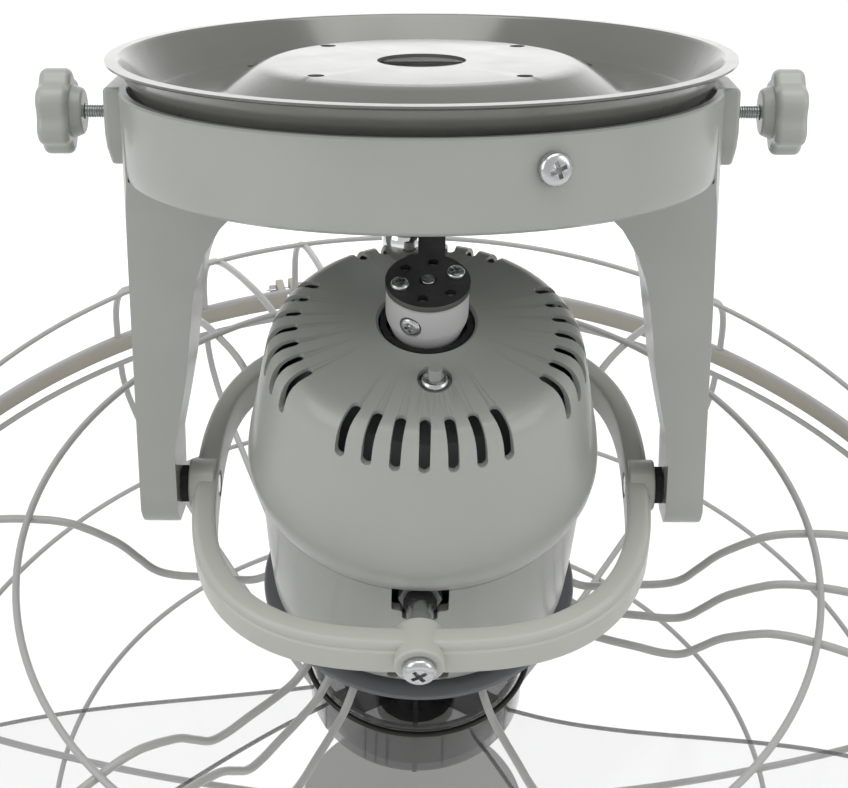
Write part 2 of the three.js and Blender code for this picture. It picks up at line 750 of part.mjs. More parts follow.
// Cast frame between the halves: a ring round the stator, the two pivot bosses and the top bearing.
const frameRadius = housingTopRadius - housingWall - gap;
const frameLow = -4;
const frameHigh = 10;
function makeFrame() {
  const rimRadius = statorRadius + frameWall;
  const rim = solid(pipe(statorRadius + gap, rimRadius + 1, frameLow, frameHigh, roundSides));
  const deck = solid(pipe(bearingRadius + 2 * gap, rimRadius, frameHigh - 2.5, frameHigh, 14));
  const cup = solid(pipe(bearingRadius + 2 * gap, bearingRadius + 2.5, frameHigh - 8, frameHigh + 1, 14));
  const boss = (side) =>
    solid(alongY(rod(trunnionRadius - 1.5, statorRadius + 1, trunnionEnd - 3)).rotateZ(side > 0 ? 0 : PI));
  const bore = solid(alongY(rod(bushRadius - 1 + gap, -80, 80)));
  const feet = [45, 135, 225, 315].map((turn) =>
    solid(turnTo(block([-4, statorRadius + 2, frameLow], [4, frameRadius - 0.5, frameHigh]), turn)),
  );
  const stator = solid(rod(statorRadius + gap, -60, frameHigh - 2.5, roundSides));
  const body = cut(join(rim, boss(1), boss(-1), ...feet), bore, stator);
  return join(body, deck, cup);
}

function addHousing() {
  const hang = solid(pipe(coverHoleRadius - 2.2, coverHoleRadius - gap, coverTop - 6, coverTop - 0.8, 18));
  const flange = solid(pipe(coverHoleRadius - 2.2, coverHoleRadius + 3, coverTop - 7.5, coverTop - 5.5, 18));
  add(head, "upper_cover", withScrewHoles(makeCover()), greyPaint);
  add(head, "crank_collar", join(hang, flange), blackRubber);
  add(head, "lower_housing", makeHousing(), greyPaint);
  add(head, "motor_frame", makeFrame(), discPaint);
  for (const [name, turn] of [["front", 180], ["rear", 0]]) {
    const bush = alongY(pipe(pinRadius + gap, bushRadius - 1, statorRadius + 3, trunnionEnd));
    const lip = alongY(pipe(pinRadius + gap, bushRadius, trunnionEnd - 2.6, trunnionEnd));
    add(head, "pivot_bush_" + name, moved(join(solid(bush), solid(lip)), [0, 0, 0], [0, 0, turn]), blackRubber);
  }
}

// Two screws hold the cover down.
const coverScrewCircle = 24;
const coverScrewHeight = coverTop - 3; // seats sunk in the crown, clear of the ball
const coverScrewTurns = [6, 186];
function withScrewHoles(cover) {
  const holes = coverScrewTurns.map((turn) =>
    solid(rod(1.6 + gap, coverTop - 12, coverTop + 3, 10).translate(...placeAt(coverScrewCircle, turn))),
  );
  const seats = coverScrewTurns.map((turn) =>
    solid(rod(4.6, coverScrewHeight - gap, coverTop + 3, smallSides).translate(...placeAt(coverScrewCircle, turn))),
  );
  return cut(cover, ...holes, ...seats);
}

function addCoverScrews() {
  coverScrewTurns.forEach((turn, i) => {
    const screw = panScrew(3.5, 2.2, 1.6, 9);
    const at = placeAt(coverScrewCircle, turn, coverScrewHeight);
    add(head, "cover_screw_" + (i + 1), moved(screw, at, [0, 0, 30 * i]), zincSteel);
  });
}

// ---------------------------------------------------------------- motor
function addStator() {
  const low = statorMiddle - statorHeight / 2;
  const high = statorMiddle + statorHeight / 2;
  const core = solid(pipe(statorBore, statorRadius, low, high, roundSides));
  add(head, "stator_core", core, laminations);
  const windings = [
    ["upper", high + gap, high + windingRise],
    ["lower", low - windingRise, low - gap],
  ];
  for (const [name, start, end] of windings) {
    const middle = (start + end) / 2;
    const half = (end - start) / 2;
    const section = circle(half, 5).map(([x, y]) => [statorBore + 8 + x * 1.3, middle + y]);
    add(head, "winding_" + name, solid(turned(section, 16)), copper);
  }
}

const topBearing = frameHigh - 7;
const lowerBearing = housingBottom + housingWall;
function addBearings() {
  const bore = shaftRadius + gap / 2;
  const top = pipe(bore, bearingRadius, topBearing, topBearing + bearingHeight, 14);
  add(head, "bearing_upper", solid(top), brass);
  const cupLow = housingBottom - 1.5;
  const cup = join(
    solid(pipe(bearingRadius - 1.2, bearingRadius + 2, cupLow, lowerBearing + 6, 14)),
    solid(pipe(bearingRadius - 1.2, bearingRadius + 6, lowerBearing + gap, lowerBearing + 2.4, 14)),
  );
  add(head, "bearing_cup", cup, zincSteel);
  const foot = pipe(bore, bearingRadius - 1.2 - gap, cupLow + 1, cupLow + bearingHeight, 12);
  add(head, "bearing_lower", solid(foot), brass);
}

// ---------------------------------------------------------------- rotor
const rotor = new THREE.Group();
const shaftTop = wormHeight + wormLength / 2;
const hubSeat = hubCupTop - 6;
const shaftFoot = hubCupTop - hubCupHeight - spinnerHeight + 8;

// A toothed wheel about Z, its teeth tapering to their tips.
function gearWheel(teeth, radius, low, high, bore) {
  const outline = [];
  for (let i = 0; i < teeth; i++)
    for (const [part, r] of [[-0.3, radius - toothDepth], [-0.14, radius], [0.14, radius], [0.3, radius - toothDepth]]) {
      const turn = (2 * PI * (i + part)) / teeth;
      outline.push([r * cos(turn), r * sin(turn)]);
    }
  const hole = circle(bore, 12).reverse();
  return plate(outline, high - low, [hole]).translate(0, 0, low);
}

// A worm about Z: a core with a helical thread of the given number of starts.
function worm(coreRadius, outerRadius, length, starts, pitch) {
  const rings = 12;
  const sides = 8;
  const points = [];
  const faces = [];
  for (let i = 0; i <= rings; i++)
    for (let k = 0; k < sides; k++) {
      const z = (length * i) / rings - length / 2;
      const turn = (2 * PI * k) / sides;
      const wave = 0.5 + 0.5 * cos(starts * turn - (2 * PI * z) / pitch);
      const r = coreRadius + (outerRadius - coreRadius) * wave;
      points.push(r * cos(turn), r * sin(turn), z);
    }
  points.push(0, 0, -length / 2, 0, 0, length / 2);
  const [bottom, top] = [points.length / 3 - 2, points.length / 3 - 1];
  for (let k = 0; k < sides; k++) {
    const next = (k + 1) % sides;
    faces.push(bottom, next, k, top, rings * sides + k, rings * sides + next);
    for (let i = 0; i < rings; i++) {
      const a = i * sides + k;
      const b = i * sides + next;
      faces.push(a, b, a + sides, b, b + sides, a + sides);
    }
  }
  const geometry = new THREE.BufferGeometry();
  geometry.setAttribute("position", new THREE.Float32BufferAttribute(points, 3));
  geometry.setIndex(faces);
  return geometry;
}

const wormThread = (starts) => worm(wormRadius - toothDepth, wormRadius, wormLength, starts, 2.5 * starts);
const crossOffset = wormRadius + crossWheelRadius + gap; // the cross shaft runs this far behind the axis
const idlerOffset = crossOffset + wormRadius + idlerRadius + gap;
const idlerPlace = [secondWormPlace, idlerOffset];
const outputRadius = hypot(...idlerPlace) - pinionRadius - gap;
const outputTeeth = Math.round((pinionTeeth * outputRadius) / pinionRadius);

function addRotor() {
  const low = statorMiddle - statorHeight / 2 - 1;
  const high = statorMiddle + statorHeight / 2 + 1;
  const core = solid(pipe(shaftRadius + gap, rotorRadius, low, high, 24));
  add(rotor, "rotor_core", core, laminations);
  const shaft = join(
    solid(rod(shaftRadius, shaftFoot, wormHeight - wormLength / 2)),
    solid(wormThread(crossStarts).translate(0, 0, wormHeight)),
    solid(rod(2, shaftFoot, shaftTop + 2)),
  );
  add(rotor, "motor_shaft", shaft, zincSteel);
}

// One blade: a broad paddle with a swept leading edge, pitched on its root.
function makeBlade() {
  const steps = 5;
  const outer = fanRadius - 1;
  const root = hubCupRadius - 1;
  const lead = [];
  const trail = [];
  for (let i = 0; i <= steps; i++) {
    const along = i / steps;
    const r = root + (outer - root) * along;
    const width = bladeChord * (0.34 + 0.66 * sin(PI * (0.12 + 0.66 * along)));
    const sweep = 20 * along - 10;
    const ahead = atan2(sweep + width / 2, outer * 0.9);
    const behind = atan2(sweep - width / 2, outer * 0.9);
    lead.push([r * cos(ahead), r * sin(ahead)]);
    trail.push([r * cos(behind), r * sin(behind)]);
  }
  const blade = plate([...trail, ...lead.reverse()], bladeThickness).translate(0, 0, -bladeThickness / 2);
  const matrix = new THREE.Matrix4().makeRotationX(radians(bladePitch));
  return blade.applyMatrix4(matrix);
}

function makeFan() {
  const low = hubCupTop - hubCupHeight;
  const cup = turned(
    [
      [hubCupRadius, hubCupTop],
      [hubCupRadius, low + 4],
      [hubCupRadius - 4, low],
      [shaftRadius + gap, low],
      [shaftRadius + gap, low + hubWall],
      [hubCupRadius - 5, low + hubWall],
      [hubCupRadius - hubWall, low + 5],
      [hubCupRadius - hubWall, hubCupTop],
    ],
    roundSides,
  );
  const sleeve = pipe(shaftRadius + gap, 9, low, hubSeat);
  const ribs = Array.from({ length: hubRibs }, (_, i) => {
    const rib = block([-0.8, 7, low + 1], [0.8, hubCupRadius - 1, hubCupTop - 9]);
    return solid(turnTo(rib, (360 * i) / hubRibs));
  });
  const middle = (hubCupTop + low) / 2 - 2;
  const blades = Array.from({ length: bladeCount }, (_, i) => {
    const blade = makeBlade().translate(0, 0, middle);
    return solid(turnTo(blade, bladeFirst - 90 + (360 * i) / bladeCount));
  });
  const inside = solid(rod(hubCupRadius - hubWall, low + hubWall, hubCupTop + 60, roundSides));
  const outside = join(...blades).subtract(inside);
  const reach = solid(rod(fanRadius, -frontDiscDepth, 0, 72));
  return join(solid(cup), solid(sleeve), ...ribs, outside).intersect(reach);
}

function addFan() {
  add(rotor, "fan_blade", makeFan(), smokyPlastic);
  const hoopBody = hoop(hubCupRadius + 1 + gap, hubCupTop - 1.4, 1, 4, roundSides);
  add(rotor, "hub_hoop", solid(hoopBody), darkSteel);
  const top = hubCupTop - hubCupHeight - gap;
  const bore = shaftRadius + gap;
  const cap = turned(
    [
      [bore, top],
      [spinnerRadius, top],
      [spinnerRadius, top - spinnerHeight * 0.4],
      [spinnerRadius * 0.7, top - spinnerHeight * 0.85],
      [0, top - spinnerHeight],
      [0, shaftFoot - gap],
      [bore, shaftFoot - gap],
    ],
    16,
  );
  add(rotor, "spinner", solid(cap), whitePlastic);
}

// ---------------------------------------------------------------- gears and crank
const crossShaft = new THREE.Group();
crossShaft.position.set(0, crossOffset, wormHeight);
const idler = new THREE.Group();
idler.position.set(...idlerPlace, 0);
const crank = new THREE.Group();

function addGears() {
  const half = crossWheelWidth / 2;
  const wheel = alongX(gearWheel(crossWheelTeeth, crossWheelRadius, -half, half, 2 + gap));
  add(crossShaft, "cross_wheel", solid(wheel), gearPlastic);
  const shaft = join(
    solid(alongX(rod(2, -9, secondWormPlace + 12, 12))),
    solid(alongX(wormThread(idlerStarts).translate(0, 0, secondWormPlace))),
  );
  add(crossShaft, "cross_shaft", shaft, brass);
  const low = wormHeight - gearFace / 2;
  const wheelBody = gearWheel(idlerTeeth, idlerRadius, low, low + gearFace, 1);
  const pinion = gearWheel(pinionTeeth, pinionRadius, low + gearFace - 1, outputHeight + gearFace, 1);
  const spindle = rod(2, low - 6, outputHeight + gearFace + 4, 12);
  add(idler, "idler_gear", join(solid(wheelBody), solid(pinion), solid(spindle)), gearPlastic);
  const hub = rod(6, outputHeight - 2, outputHeight + gearFace + 6);
  const gear = gearWheel(outputTeeth, outputRadius, outputHeight, outputHeight + gearFace - 1, 4);
  const bore = solid(rod(3.2 + gap, 0, 90, 12));
  add(crank, "output_gear", cut(join(solid(gear), solid(hub)), bore), gearPlastic);
}

// Two-part case round the gears, with bearings for the output shaft, bolted on the frame.
const caseLow = frameHigh + 1.5 + gap;
const caseHigh = outputHeight + gearFace + 9;
const caseRadius = 43;
const caseWall = 2;
function addGearCase() {
  const outline = [
    [bearingRadius + 3, caseLow],
    [caseRadius, caseLow],
    [caseRadius, caseHigh - 13],
    [caseRadius - 7, caseHigh - 3],
    [caseRadius - 9, caseHigh],
    [6 + gap * 2, caseHigh],
    [6 + gap * 2, caseHigh - caseWall],
    [caseRadius - 10, caseHigh - caseWall],
    [caseRadius - 9, caseHigh - 5],
    [caseRadius - caseWall, caseHigh - 14],
    [caseRadius - caseWall, caseLow + caseWall],
    [bearingRadius + 3, caseLow + caseWall],
  ];
  add(head, "gearbox_case", solid(turned(outline, 20)), discPaint);
}

// Seat of the orbit ball in the crank's own frame, found from where the ball hangs below the stem.
const headMatrix = () => {
  const lean = new THREE.Matrix4().makeRotationX(radians(restTilt));
  return lean.multiply(new THREE.Matrix4().makeRotationY(radians(restRoll)));
};
const toHead = headMatrix().invert();
const ballAt = new THREE.Vector3(stemOffset, 0, ballHeight).applyMatrix4(toHead);
const plumb = new THREE.Vector3(0, 0, 1).applyMatrix4(toHead);

function addCrank() {
  const neck = caseHigh + 1;
  const hubLow = coverTop - 9;
  const boss = turned(
    [
      [0, outputHeight - 1],
      [3.2, outputHeight - 1],
      [3.2, neck],
      [5.5, neck],
      [5.5, hubLow],
      [crankBossRadius - 2, hubLow],
      [crankBossRadius - 2, coverTop - 3],
      [crankBossRadius - 1, coverTop],
      [crankBossRadius, coverTop + 3],
      [crankBossRadius, crankBossTop],
      [0, crankBossTop],
    ],
    16,
  );
  const low = crankBossTop + gap;
  const high = low + crankDiscThickness;
  const disc = solid(rod(crankBossRadius + 0.3, low, high, 20));
  const arm = [
    [armWidth / 2 + 1, 0],
    [armWidth / 2 + 1, ballAt.y - 7],
    [ballAt.x + 7, ballAt.y + 1],
    [ballAt.x + 4, ballAt.y + 6],
    [ballAt.x - 4, ballAt.y + 6],
    [ballAt.x - 6, ballAt.y],
    [-armWidth / 2 + 1, ballAt.y - 9],
    [-armWidth / 2 + 1, 0],
  ];
  const strap = join(disc, solid(plate(arm, high - low).translate(0, 0, low)));
  const tapped = [60, 120, 180, 240, 300, 0].map((turn) =>
    solid(rod(crankScrewShank, crankBossTop - crankScrewDepth - 1, high + crankScrewDepth, 6).translate(...placeAt(crankScrewCircle, turn + 50))),
  );
  const stud = studSolid(ballStudRadius + gap);
  const centre = solid(rod(2.4, low - 1, high + 1, 12));
  add(crank, "crank_boss", cut(solid(boss), ...tapped, sideHole()), whitePlastic);
  add(crank, "crank_arm", cut(strap, ...tapped, stud, centre), darkSteel);
  add(crank, "centre_pin", solid(rod(2.4 - gap, low + gap - 0.2, high + 0.5, 12)), zincSteel);
  for (const [name, turn] of [["front", -70], ["rear", 110]]) {
    const screw = panScrew(crankScrewRadius, 1.6, crankScrewShank - gap, crankScrewDepth);
    const at = placeAt(crankScrewCircle, turn, high + gap);
    add(crank, "crank_screw_" + name, moved(screw, at, [0, 0, 20]), zincSteel);
  }
  const ball = moved(solid(new THREE.SphereGeometry(ballRadius, 12, 8)), [ballAt.x, ballAt.y, ballAt.z]);
  add(crank, "orbit_ball", join(ball, studSolid(ballStudRadius)), chromeSteel);
  const side = moved(panScrew(3, 1.8, 1.5, 5), [0, -crankBossRadius, coverTop + 6.4], [90, 0, 0]);
  add(crank, "crank_set_screw", moved(side, [0, 0, 0], [0, 0, -24]), zincSteel);
}

// The ball's stud stands plumb under the fixed stem.
function studSolid(radius) {
  const body = rod(radius, 0, ballStudLength, 12);
  const turn = new THREE.Quaternion().setFromUnitVectors(new THREE.Vector3(0, 0, 1), plumb);
  return solid(body.applyQuaternion(turn).translate(ballAt.x, ballAt.y, ballAt.z));
}

function sideHole() {
  const bore = solid(rod(1.5 + gap, 0, 9, 12));
  const facing = moved(bore, [0, -crankBossRadius + 8, coverTop + 6.4], [90, 0, 0]);
  const seat = moved(solid(rod(3 + gap, -gap, 9, 16)), [0, -crankBossRadius, coverTop + 6.4], [90, 0, 0]);
  return moved(join(facing, seat), [0, 0, 0], [0, 0, -24]);
}

// ---------------------------------------------------------------- guard
const guardAzimuths = [
  ...spokeGroups.flatMap((middle) => [-1, 0, 1].map((i) => middle + i * spokePitch)),
  ...singleSpokes,
];
const clampReach = guardRadius + earReach;
const rearHoopRadius = guardRadius - bandWall - hoopRadius - 1.8;
const rearHoopDepth = guardDepth - bandHeight / 2 + hoopRadius + 1.2;
const frontHoopDepth = guardDepth + bandHeight / 2 - hoopRadius - 1.2;

// Each rear spoke runs flat under the motor, kinks up over a knee and falls in a bow to the band.
function rearSpoke(azimuth) {
  const stretch = [
    [spokeHubRadius, -hubDiscDepth - 4],
    [spokeHubRadius + 8, -spokeFlatDepth + 1],
    [spokeFlatRadius - 6, -spokeFlatDepth],
    [spokeFlatRadius + 2, -spokeFlatDepth + 5],
    [kneeRadius - 1, -innerHoopDepth - 6],
    [kneeRadius + 6, -innerHoopDepth - 2.4],
    [innerHoopRadius, -innerHoopDepth - wireLap],
    [(innerHoopRadius + middleHoopRadius) / 2, -(innerHoopDepth + middleHoopDepth) / 2 + 1],
    [middleHoopRadius, -middleHoopDepth - wireLap],
    [(middleHoopRadius + rearHoopRadius) / 2 + 3, -middleHoopDepth - 13],
    [rearHoopRadius - 3, -middleHoopDepth - 30],
    [rearHoopRadius, -rearHoopDepth],
  ];
  return solid(wire(stretch, azimuth, spokeRadius, wireSides));
}

function frontSpoke(azimuth) {
  const stretch = [
    [rearHoopRadius, -frontHoopDepth],
    [rearHoopRadius - 4, -guardDepth - 18],
    [frontOuterHoopRadius, -frontOuterHoopDepth + wireLap],
    [frontInnerHoopRadius, -frontInnerHoopDepth + wireLap],
    [(frontInnerHoopRadius + frontDiscRadius) / 2, -frontDiscDepth + 3.4],
    [frontDiscRadius - 3, -frontDiscDepth + 0.4],
  ];
  return solid(wire(stretch, azimuth, spokeRadius, wireSides));
}

function addGuard() {
  const disc = solid(pipe(24, hubDiscRadius, -hubDiscDepth - hubDiscThickness, -hubDiscDepth, 24));
  const anchor = solid(hoop(spokeHubRadius, -hubDiscDepth - 3.2, hoopRadius + 0.6, 4, 18));
  const rear = join(
    disc,
    anchor,
    solid(hoop(innerHoopRadius, -innerHoopDepth, hoopRadius)),
    solid(hoop(middleHoopRadius, -middleHoopDepth, fineHoopRadius, 4, 28)),
    solid(hoop(rearHoopRadius, -rearHoopDepth, hoopRadius, 4, 32)),
    ...guardAzimuths.map(rearSpoke),
  );
  add(head, "rear_guard", rear, wirePaint);
  const badge = turned(
    [
      [0, -frontDiscDepth + 1],
      [frontDiscRadius, -frontDiscDepth + 1],
      [frontDiscRadius, -frontDiscDepth - 1],
      [frontDiscRadius - 6, -frontDiscDepth - 3.4],
      [0, -frontDiscDepth - 4],
    ],
    20,
  );
  const front = join(
    solid(badge),
    solid(hoop(frontInnerHoopRadius, -frontInnerHoopDepth, fineHoopRadius)),
    solid(hoop(frontOuterHoopRadius, -frontOuterHoopDepth, fineHoopRadius, 4, 28)),
    solid(hoop(rearHoopRadius, -frontHoopDepth, hoopRadius, 4, 32)),
    ...guardAzimuths.map(frontSpoke),
  );
  add(head, "front_guard", front, wirePaint);
  addBand();
  addClamp();
}

// The vinyl-covered steel band that holds the two halves together, split at its clamp.
function addBand() {
  const half = bandHeight / 2;
  const inner = guardRadius - bandWall;
  const band = turned(
    [
      [guardRadius, -guardDepth - half],
      [guardRadius, -guardDepth - bandGroove],
      [guardRadius - bandGroove, -guardDepth],
      [guardRadius, -guardDepth + bandGroove],
      [guardRadius, -guardDepth + half],
      [inner, -guardDepth + half],
      [inner, -guardDepth - half],
    ],
    bandSides,
  );
  const slit = clampSplit / 2;
  const split = block(
    [-slit, inner - half, -guardDepth - bandHeight],
    [slit, clampReach + 1, -guardDepth + bandHeight],
  );
  const ears = [-1, 1].map((side) => {
    const near = side * slit;
    const far = side * (slit + earThickness);
    const low = [min(near, far), guardRadius - bandWall / 2, -guardDepth - earHalfHeight];
    const high = [max(near, far), clampReach, -guardDepth + earHalfHeight];
    return solid(turnTo(block(low, high), clipAzimuth + 180));
  });
  const body = join(solid(turnTo(band, clipAzimuth)), ...ears);
  const bore = solid(clampRod(clampBoltRadius + gap, -clampReach, clampReach, 10));
  add(head, "guard_band", cut(body, solid(turnTo(split, clipAzimuth + 180)), bore), bandPlastic);
}

// A rod through both ears of the clamp.
function clampRod(radius, low, high, sides) {
  const place = placeAt(guardRadius + earBoltReach, clipAzimuth, -guardDepth);
  return turnTo(alongX(rod(radius, low, high, sides)), clipAzimuth).translate(...place);
}

function addClamp() {
  const earFace = clampSplit / 2 + earThickness + gap;
  const nutTop = earFace + clampNutHeight;
  const bolt = join(
    solid(clampRod(clampBoltRadius, -earFace - clampNutHeight / 2, nutTop + clampBoltRadius, 10)),
    solid(clampRod(clampBoltRadius * 2, -earFace - clampHeadHeight, -earFace, 12)),
  );
  add(head, "clamp_bolt", bolt, zincSteel);
  const nut = solid(clampRod(clampNutRadius, earFace, nutTop, 6));
  const thread = solid(clampRod(clampBoltRadius + gap, 0, clampReach, 10));
  add(head, "clamp_nut", cut(nut, thread), zincSteel);
}

addHousing();
addCoverScrews();
addStator();
addBearings();
addGearCase();
addGuard();
addRotor();
addFan();
addGears();
addCrank();

head.add(rotor, crossShaft, idler, crank);
gimbal.add(head);
const fan = new THREE.Group();
fan.add(ceiling, gimbal);

export default fan;
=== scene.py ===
import json
import math
import bpy
from mathutils import Matrix, Vector


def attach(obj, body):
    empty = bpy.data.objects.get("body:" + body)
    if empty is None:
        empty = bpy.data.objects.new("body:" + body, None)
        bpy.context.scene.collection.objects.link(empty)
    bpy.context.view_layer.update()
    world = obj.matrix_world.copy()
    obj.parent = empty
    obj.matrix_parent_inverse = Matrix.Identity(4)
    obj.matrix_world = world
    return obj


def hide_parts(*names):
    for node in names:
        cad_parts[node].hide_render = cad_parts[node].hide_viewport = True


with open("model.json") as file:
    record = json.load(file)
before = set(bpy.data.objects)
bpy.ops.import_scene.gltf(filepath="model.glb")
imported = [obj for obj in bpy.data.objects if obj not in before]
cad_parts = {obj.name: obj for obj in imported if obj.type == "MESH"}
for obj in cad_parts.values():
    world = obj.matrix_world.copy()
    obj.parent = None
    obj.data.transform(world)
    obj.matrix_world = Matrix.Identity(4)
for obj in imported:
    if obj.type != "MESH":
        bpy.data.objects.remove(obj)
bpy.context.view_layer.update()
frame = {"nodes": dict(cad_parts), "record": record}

mm = 0.001
print("frame loaded,", len(frame["nodes"]), "pieces")

# The head hangs in its gimbal, leaning to the front and a little to the right.
pose = {"pivotDepth": 135.3, "tilt": 23.8, "roll": 1.5}
gimbalFrame = Matrix.Translation((0, 0, -pose["pivotDepth"] * mm)) @ Matrix.Rotation(
    math.radians(pose["tilt"]), 4, "X",
)
headFrame = gimbalFrame @ Matrix.Rotation(math.radians(pose["roll"]), 4, "Y")
world = Matrix.Identity(4)


# Small tools for modelling

def startClean():
    if bpy.context.object and bpy.context.object.mode != "OBJECT":
        bpy.ops.object.mode_set(mode="OBJECT")
    bpy.ops.object.select_all(action="DESELECT")


def pick(obj, *others):
    startClean()
    for o in (obj, *others):
        o.select_set(True)
    bpy.context.view_layer.objects.active = obj
    return obj


def applyAll(obj):
    pick(obj)
    for modifier in list(obj.modifiers):
        bpy.ops.object.modifier_apply(modifier=modifier.name)


def cleanUp(obj, angle=35):
    pick(obj)
    bpy.ops.object.mode_set(mode="EDIT")
    bpy.ops.mesh.select_all(action="SELECT")
    bpy.ops.mesh.remove_doubles(threshold=0.00002)
    bpy.ops.mesh.normals_make_consistent(inside=False)
    bpy.ops.object.mode_set(mode="OBJECT")
    bpy.ops.object.shade_smooth_by_angle(angle=math.radians(angle))
    return obj


# Draws a ring of vertices, then extrudes and scales it from one [radius, height] pair to the next.
def turnPiece(name, profile, sides=96, closed=True):
    startClean()
    first = profile[0]
    r0 = max(first[0], 0.01)
    bpy.ops.mesh.primitive_circle_add(vertices=sides, radius=r0 * mm, location=(0, 0, first[1] * mm))
    obj = bpy.context.object
    obj.name = name
    bpy.ops.object.transform_apply(location=True, rotation=True, scale=True)
    bpy.ops.object.mode_set(mode="EDIT")
    bpy.ops.mesh.select_all(action="SELECT")
    stops = list(profile[1:]) + ([first] if closed else [])
    radius, height = r0, first[1]
    for r, z in stops:
        r = max(r, 0.01)
        lift = {"value": (0, 0, (z - height) * mm)}
        bpy.ops.mesh.extrude_region_move(TRANSFORM_OT_translate=lift)
        bpy.ops.transform.resize(value=(r / radius, r / radius, 1), center_override=(0, 0, z * mm))
        radius, height = r, z
    bpy.ops.object.mode_set(mode="OBJECT")
    return cleanUp(obj)


def bevelled(obj, width, segments=3, angle=30):
    modifier = obj.modifiers.new("edge", "BEVEL")
    modifier.width = width * mm
    modifier.segments = segments
    modifier.limit_method = "ANGLE"
    modifier.angle_limit = math.radians(angle)
    modifier.harden_normals = False
    applyAll(obj)
    return obj


def cutWith(obj, *cutters):
    for cutter in cutters:
        modifier = obj.modifiers.new("cut", "BOOLEAN")
        modifier.operation = "DIFFERENCE"
        modifier.solver = "EXACT"
        modifier.object = cutter
        applyAll(obj)
        bpy.data.objects.remove(cutter)
    return obj


def weldWith(obj, *others):
    for other in others:
        modifier = obj.modifiers.new("weld", "BOOLEAN")
        modifier.operation = "UNION"
        modifier.solver = "EXACT"
        modifier.object = other
        applyAll(obj)
        bpy.data.objects.remove(other)
    return obj


def joined(obj, *others):
    pick(obj, *others)
    bpy.ops.object.join()
    return obj


def rodPiece(name, radius, low, high, sides=32, turn=(0, 0, 0), at=(0, 0, 0), topRadius=None):
    startClean()
    bpy.ops.mesh.primitive_cone_add(
        vertices=sides, radius1=radius * mm, radius2=(radius if topRadius is None else topRadius) * mm,
        depth=(high - low) * mm, location=(0, 0, (low + high) / 2 * mm),
    )
    obj = bpy.context.object
    obj.name = name
    bpy.ops.object.transform_apply(location=True, rotation=True, scale=True)
    moveTo(obj, at, turn)
    return obj


def blockPiece(name, low, high, turn=(0, 0, 0), at=(0, 0, 0)):
    startClean()
    bpy.ops.mesh.primitive_cube_add(size=1, location=[(a + b) / 2 * mm for a, b in zip(low, high)])
    obj = bpy.context.object
    obj.name = name
    obj.scale = [(b - a) * mm for a, b in zip(low, high)]
    bpy.ops.object.transform_apply(location=True, rotation=True, scale=True)
    moveTo(obj, at, turn)
    return obj


def moveTo(obj, at=(0, 0, 0), turn=(0, 0, 0)):
    spin = Matrix.Rotation(math.radians(turn[2]), 4, "Z") @ Matrix.Rotation(
        math.radians(turn[1]), 4, "Y",
    )
    spin = spin @ Matrix.Rotation(math.radians(turn[0]), 4, "X")
    obj.data.transform(Matrix.Translation([v * mm for v in at]) @ spin)
    return obj


# A flat outline given a thickness: its corners are placed, filled and extruded.
def platePiece(name, outline, low, high):
    startClean()
    bpy.ops.mesh.primitive_circle_add(vertices=len(outline), radius=mm, fill_type="NGON")
    obj = bpy.context.object
    obj.name = name
    for vertex, (x, y) in zip(obj.data.vertices, outline):
        vertex.co = (x * mm, y * mm, low * mm)
    bpy.ops.object.mode_set(mode="EDIT")
    bpy.ops.mesh.select_all(action="SELECT")
    bpy.ops.mesh.extrude_region_move(TRANSFORM_OT_translate={"value": (0, 0, (high - low) * mm)})
    bpy.ops.mesh.select_all(action="SELECT")
    bpy.ops.mesh.normals_make_consistent(inside=False)
    bpy.ops.object.mode_set(mode="OBJECT")
    return obj


def placeAt(radius, azimuth, height=0):
    turn = math.radians(azimuth)
    return (radius * math.sin(turn), -radius * math.cos(turn), height)


def copyOf(obj, name):
    copy = obj.copy()
    copy.data = obj.data.copy()
    copy.name = name
    bpy.context.scene.collection.objects.link(copy)
    return copy


def finishPiece(obj, name, body, material, replaced=(), into=world, angle=35):
    obj.data.transform(into)
    obj.name = name
    obj.data.materials.clear()
    obj.data.materials.append(material)
    pick(obj)
    bpy.ops.object.shade_smooth_by_angle(angle=math.radians(angle))
    weigh = obj.modifiers.new("weigh", "WEIGHTED_NORMAL")
    weigh.keep_sharp = True
    weigh.weight = 80
    applyAll(obj)
    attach(obj, body)
    if replaced:
        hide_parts(*replaced)
    return obj


# Finishes

def newMaterial(name, colour, roughness, metallic=0.0):
    material = bpy.data.materials.new(name)
    material.use_nodes = True
    tree = material.node_tree
    shader = tree.nodes["Principled BSDF"]
    shader.inputs["Base Color"].default_value = (*colour, 1)
    shader.inputs["Roughness"].default_value = roughness
    shader.inputs["Metallic"].default_value = metallic
    return material, tree, shader


def noise(tree, scale, detail=3, stretch=(1, 1, 1)):
    coords = tree.nodes.new("ShaderNodeTexCoord")
    mapping = tree.nodes.new("ShaderNodeMapping")
    mapping.inputs["Scale"].default_value = stretch
    texture = tree.nodes.new("ShaderNodeTexNoise")
    texture.inputs["Scale"].default_value = scale
    texture.inputs["Detail"].default_value = detail
    tree.links.new(coords.outputs["Object"], mapping.inputs["Vector"])
    tree.links.new(mapping.outputs["Vector"], texture.inputs["Vector"])
    return texture


def ramp(tree, source, stops):
    node = tree.nodes.new("ShaderNodeValToRGB")
    elements = node.color_ramp.elements
    while len(elements) < len(stops):
        elements.new(0.5)
    for element, (place, colour) in zip(elements, stops):
        element.position = place
        element.color = (*colour, 1)
    tree.links.new(source, node.inputs["Fac"])
    return node


def bump(tree, shader, height, strength, distance):
    node = tree.nodes.new("ShaderNodeBump")
    node.inputs["Strength"].default_value = strength
    node.inputs["Distance"].default_value = distance
    tree.links.new(height, node.inputs["Height"])
    tree.links.new(node.outputs["Normal"], shader.inputs["Normal"])


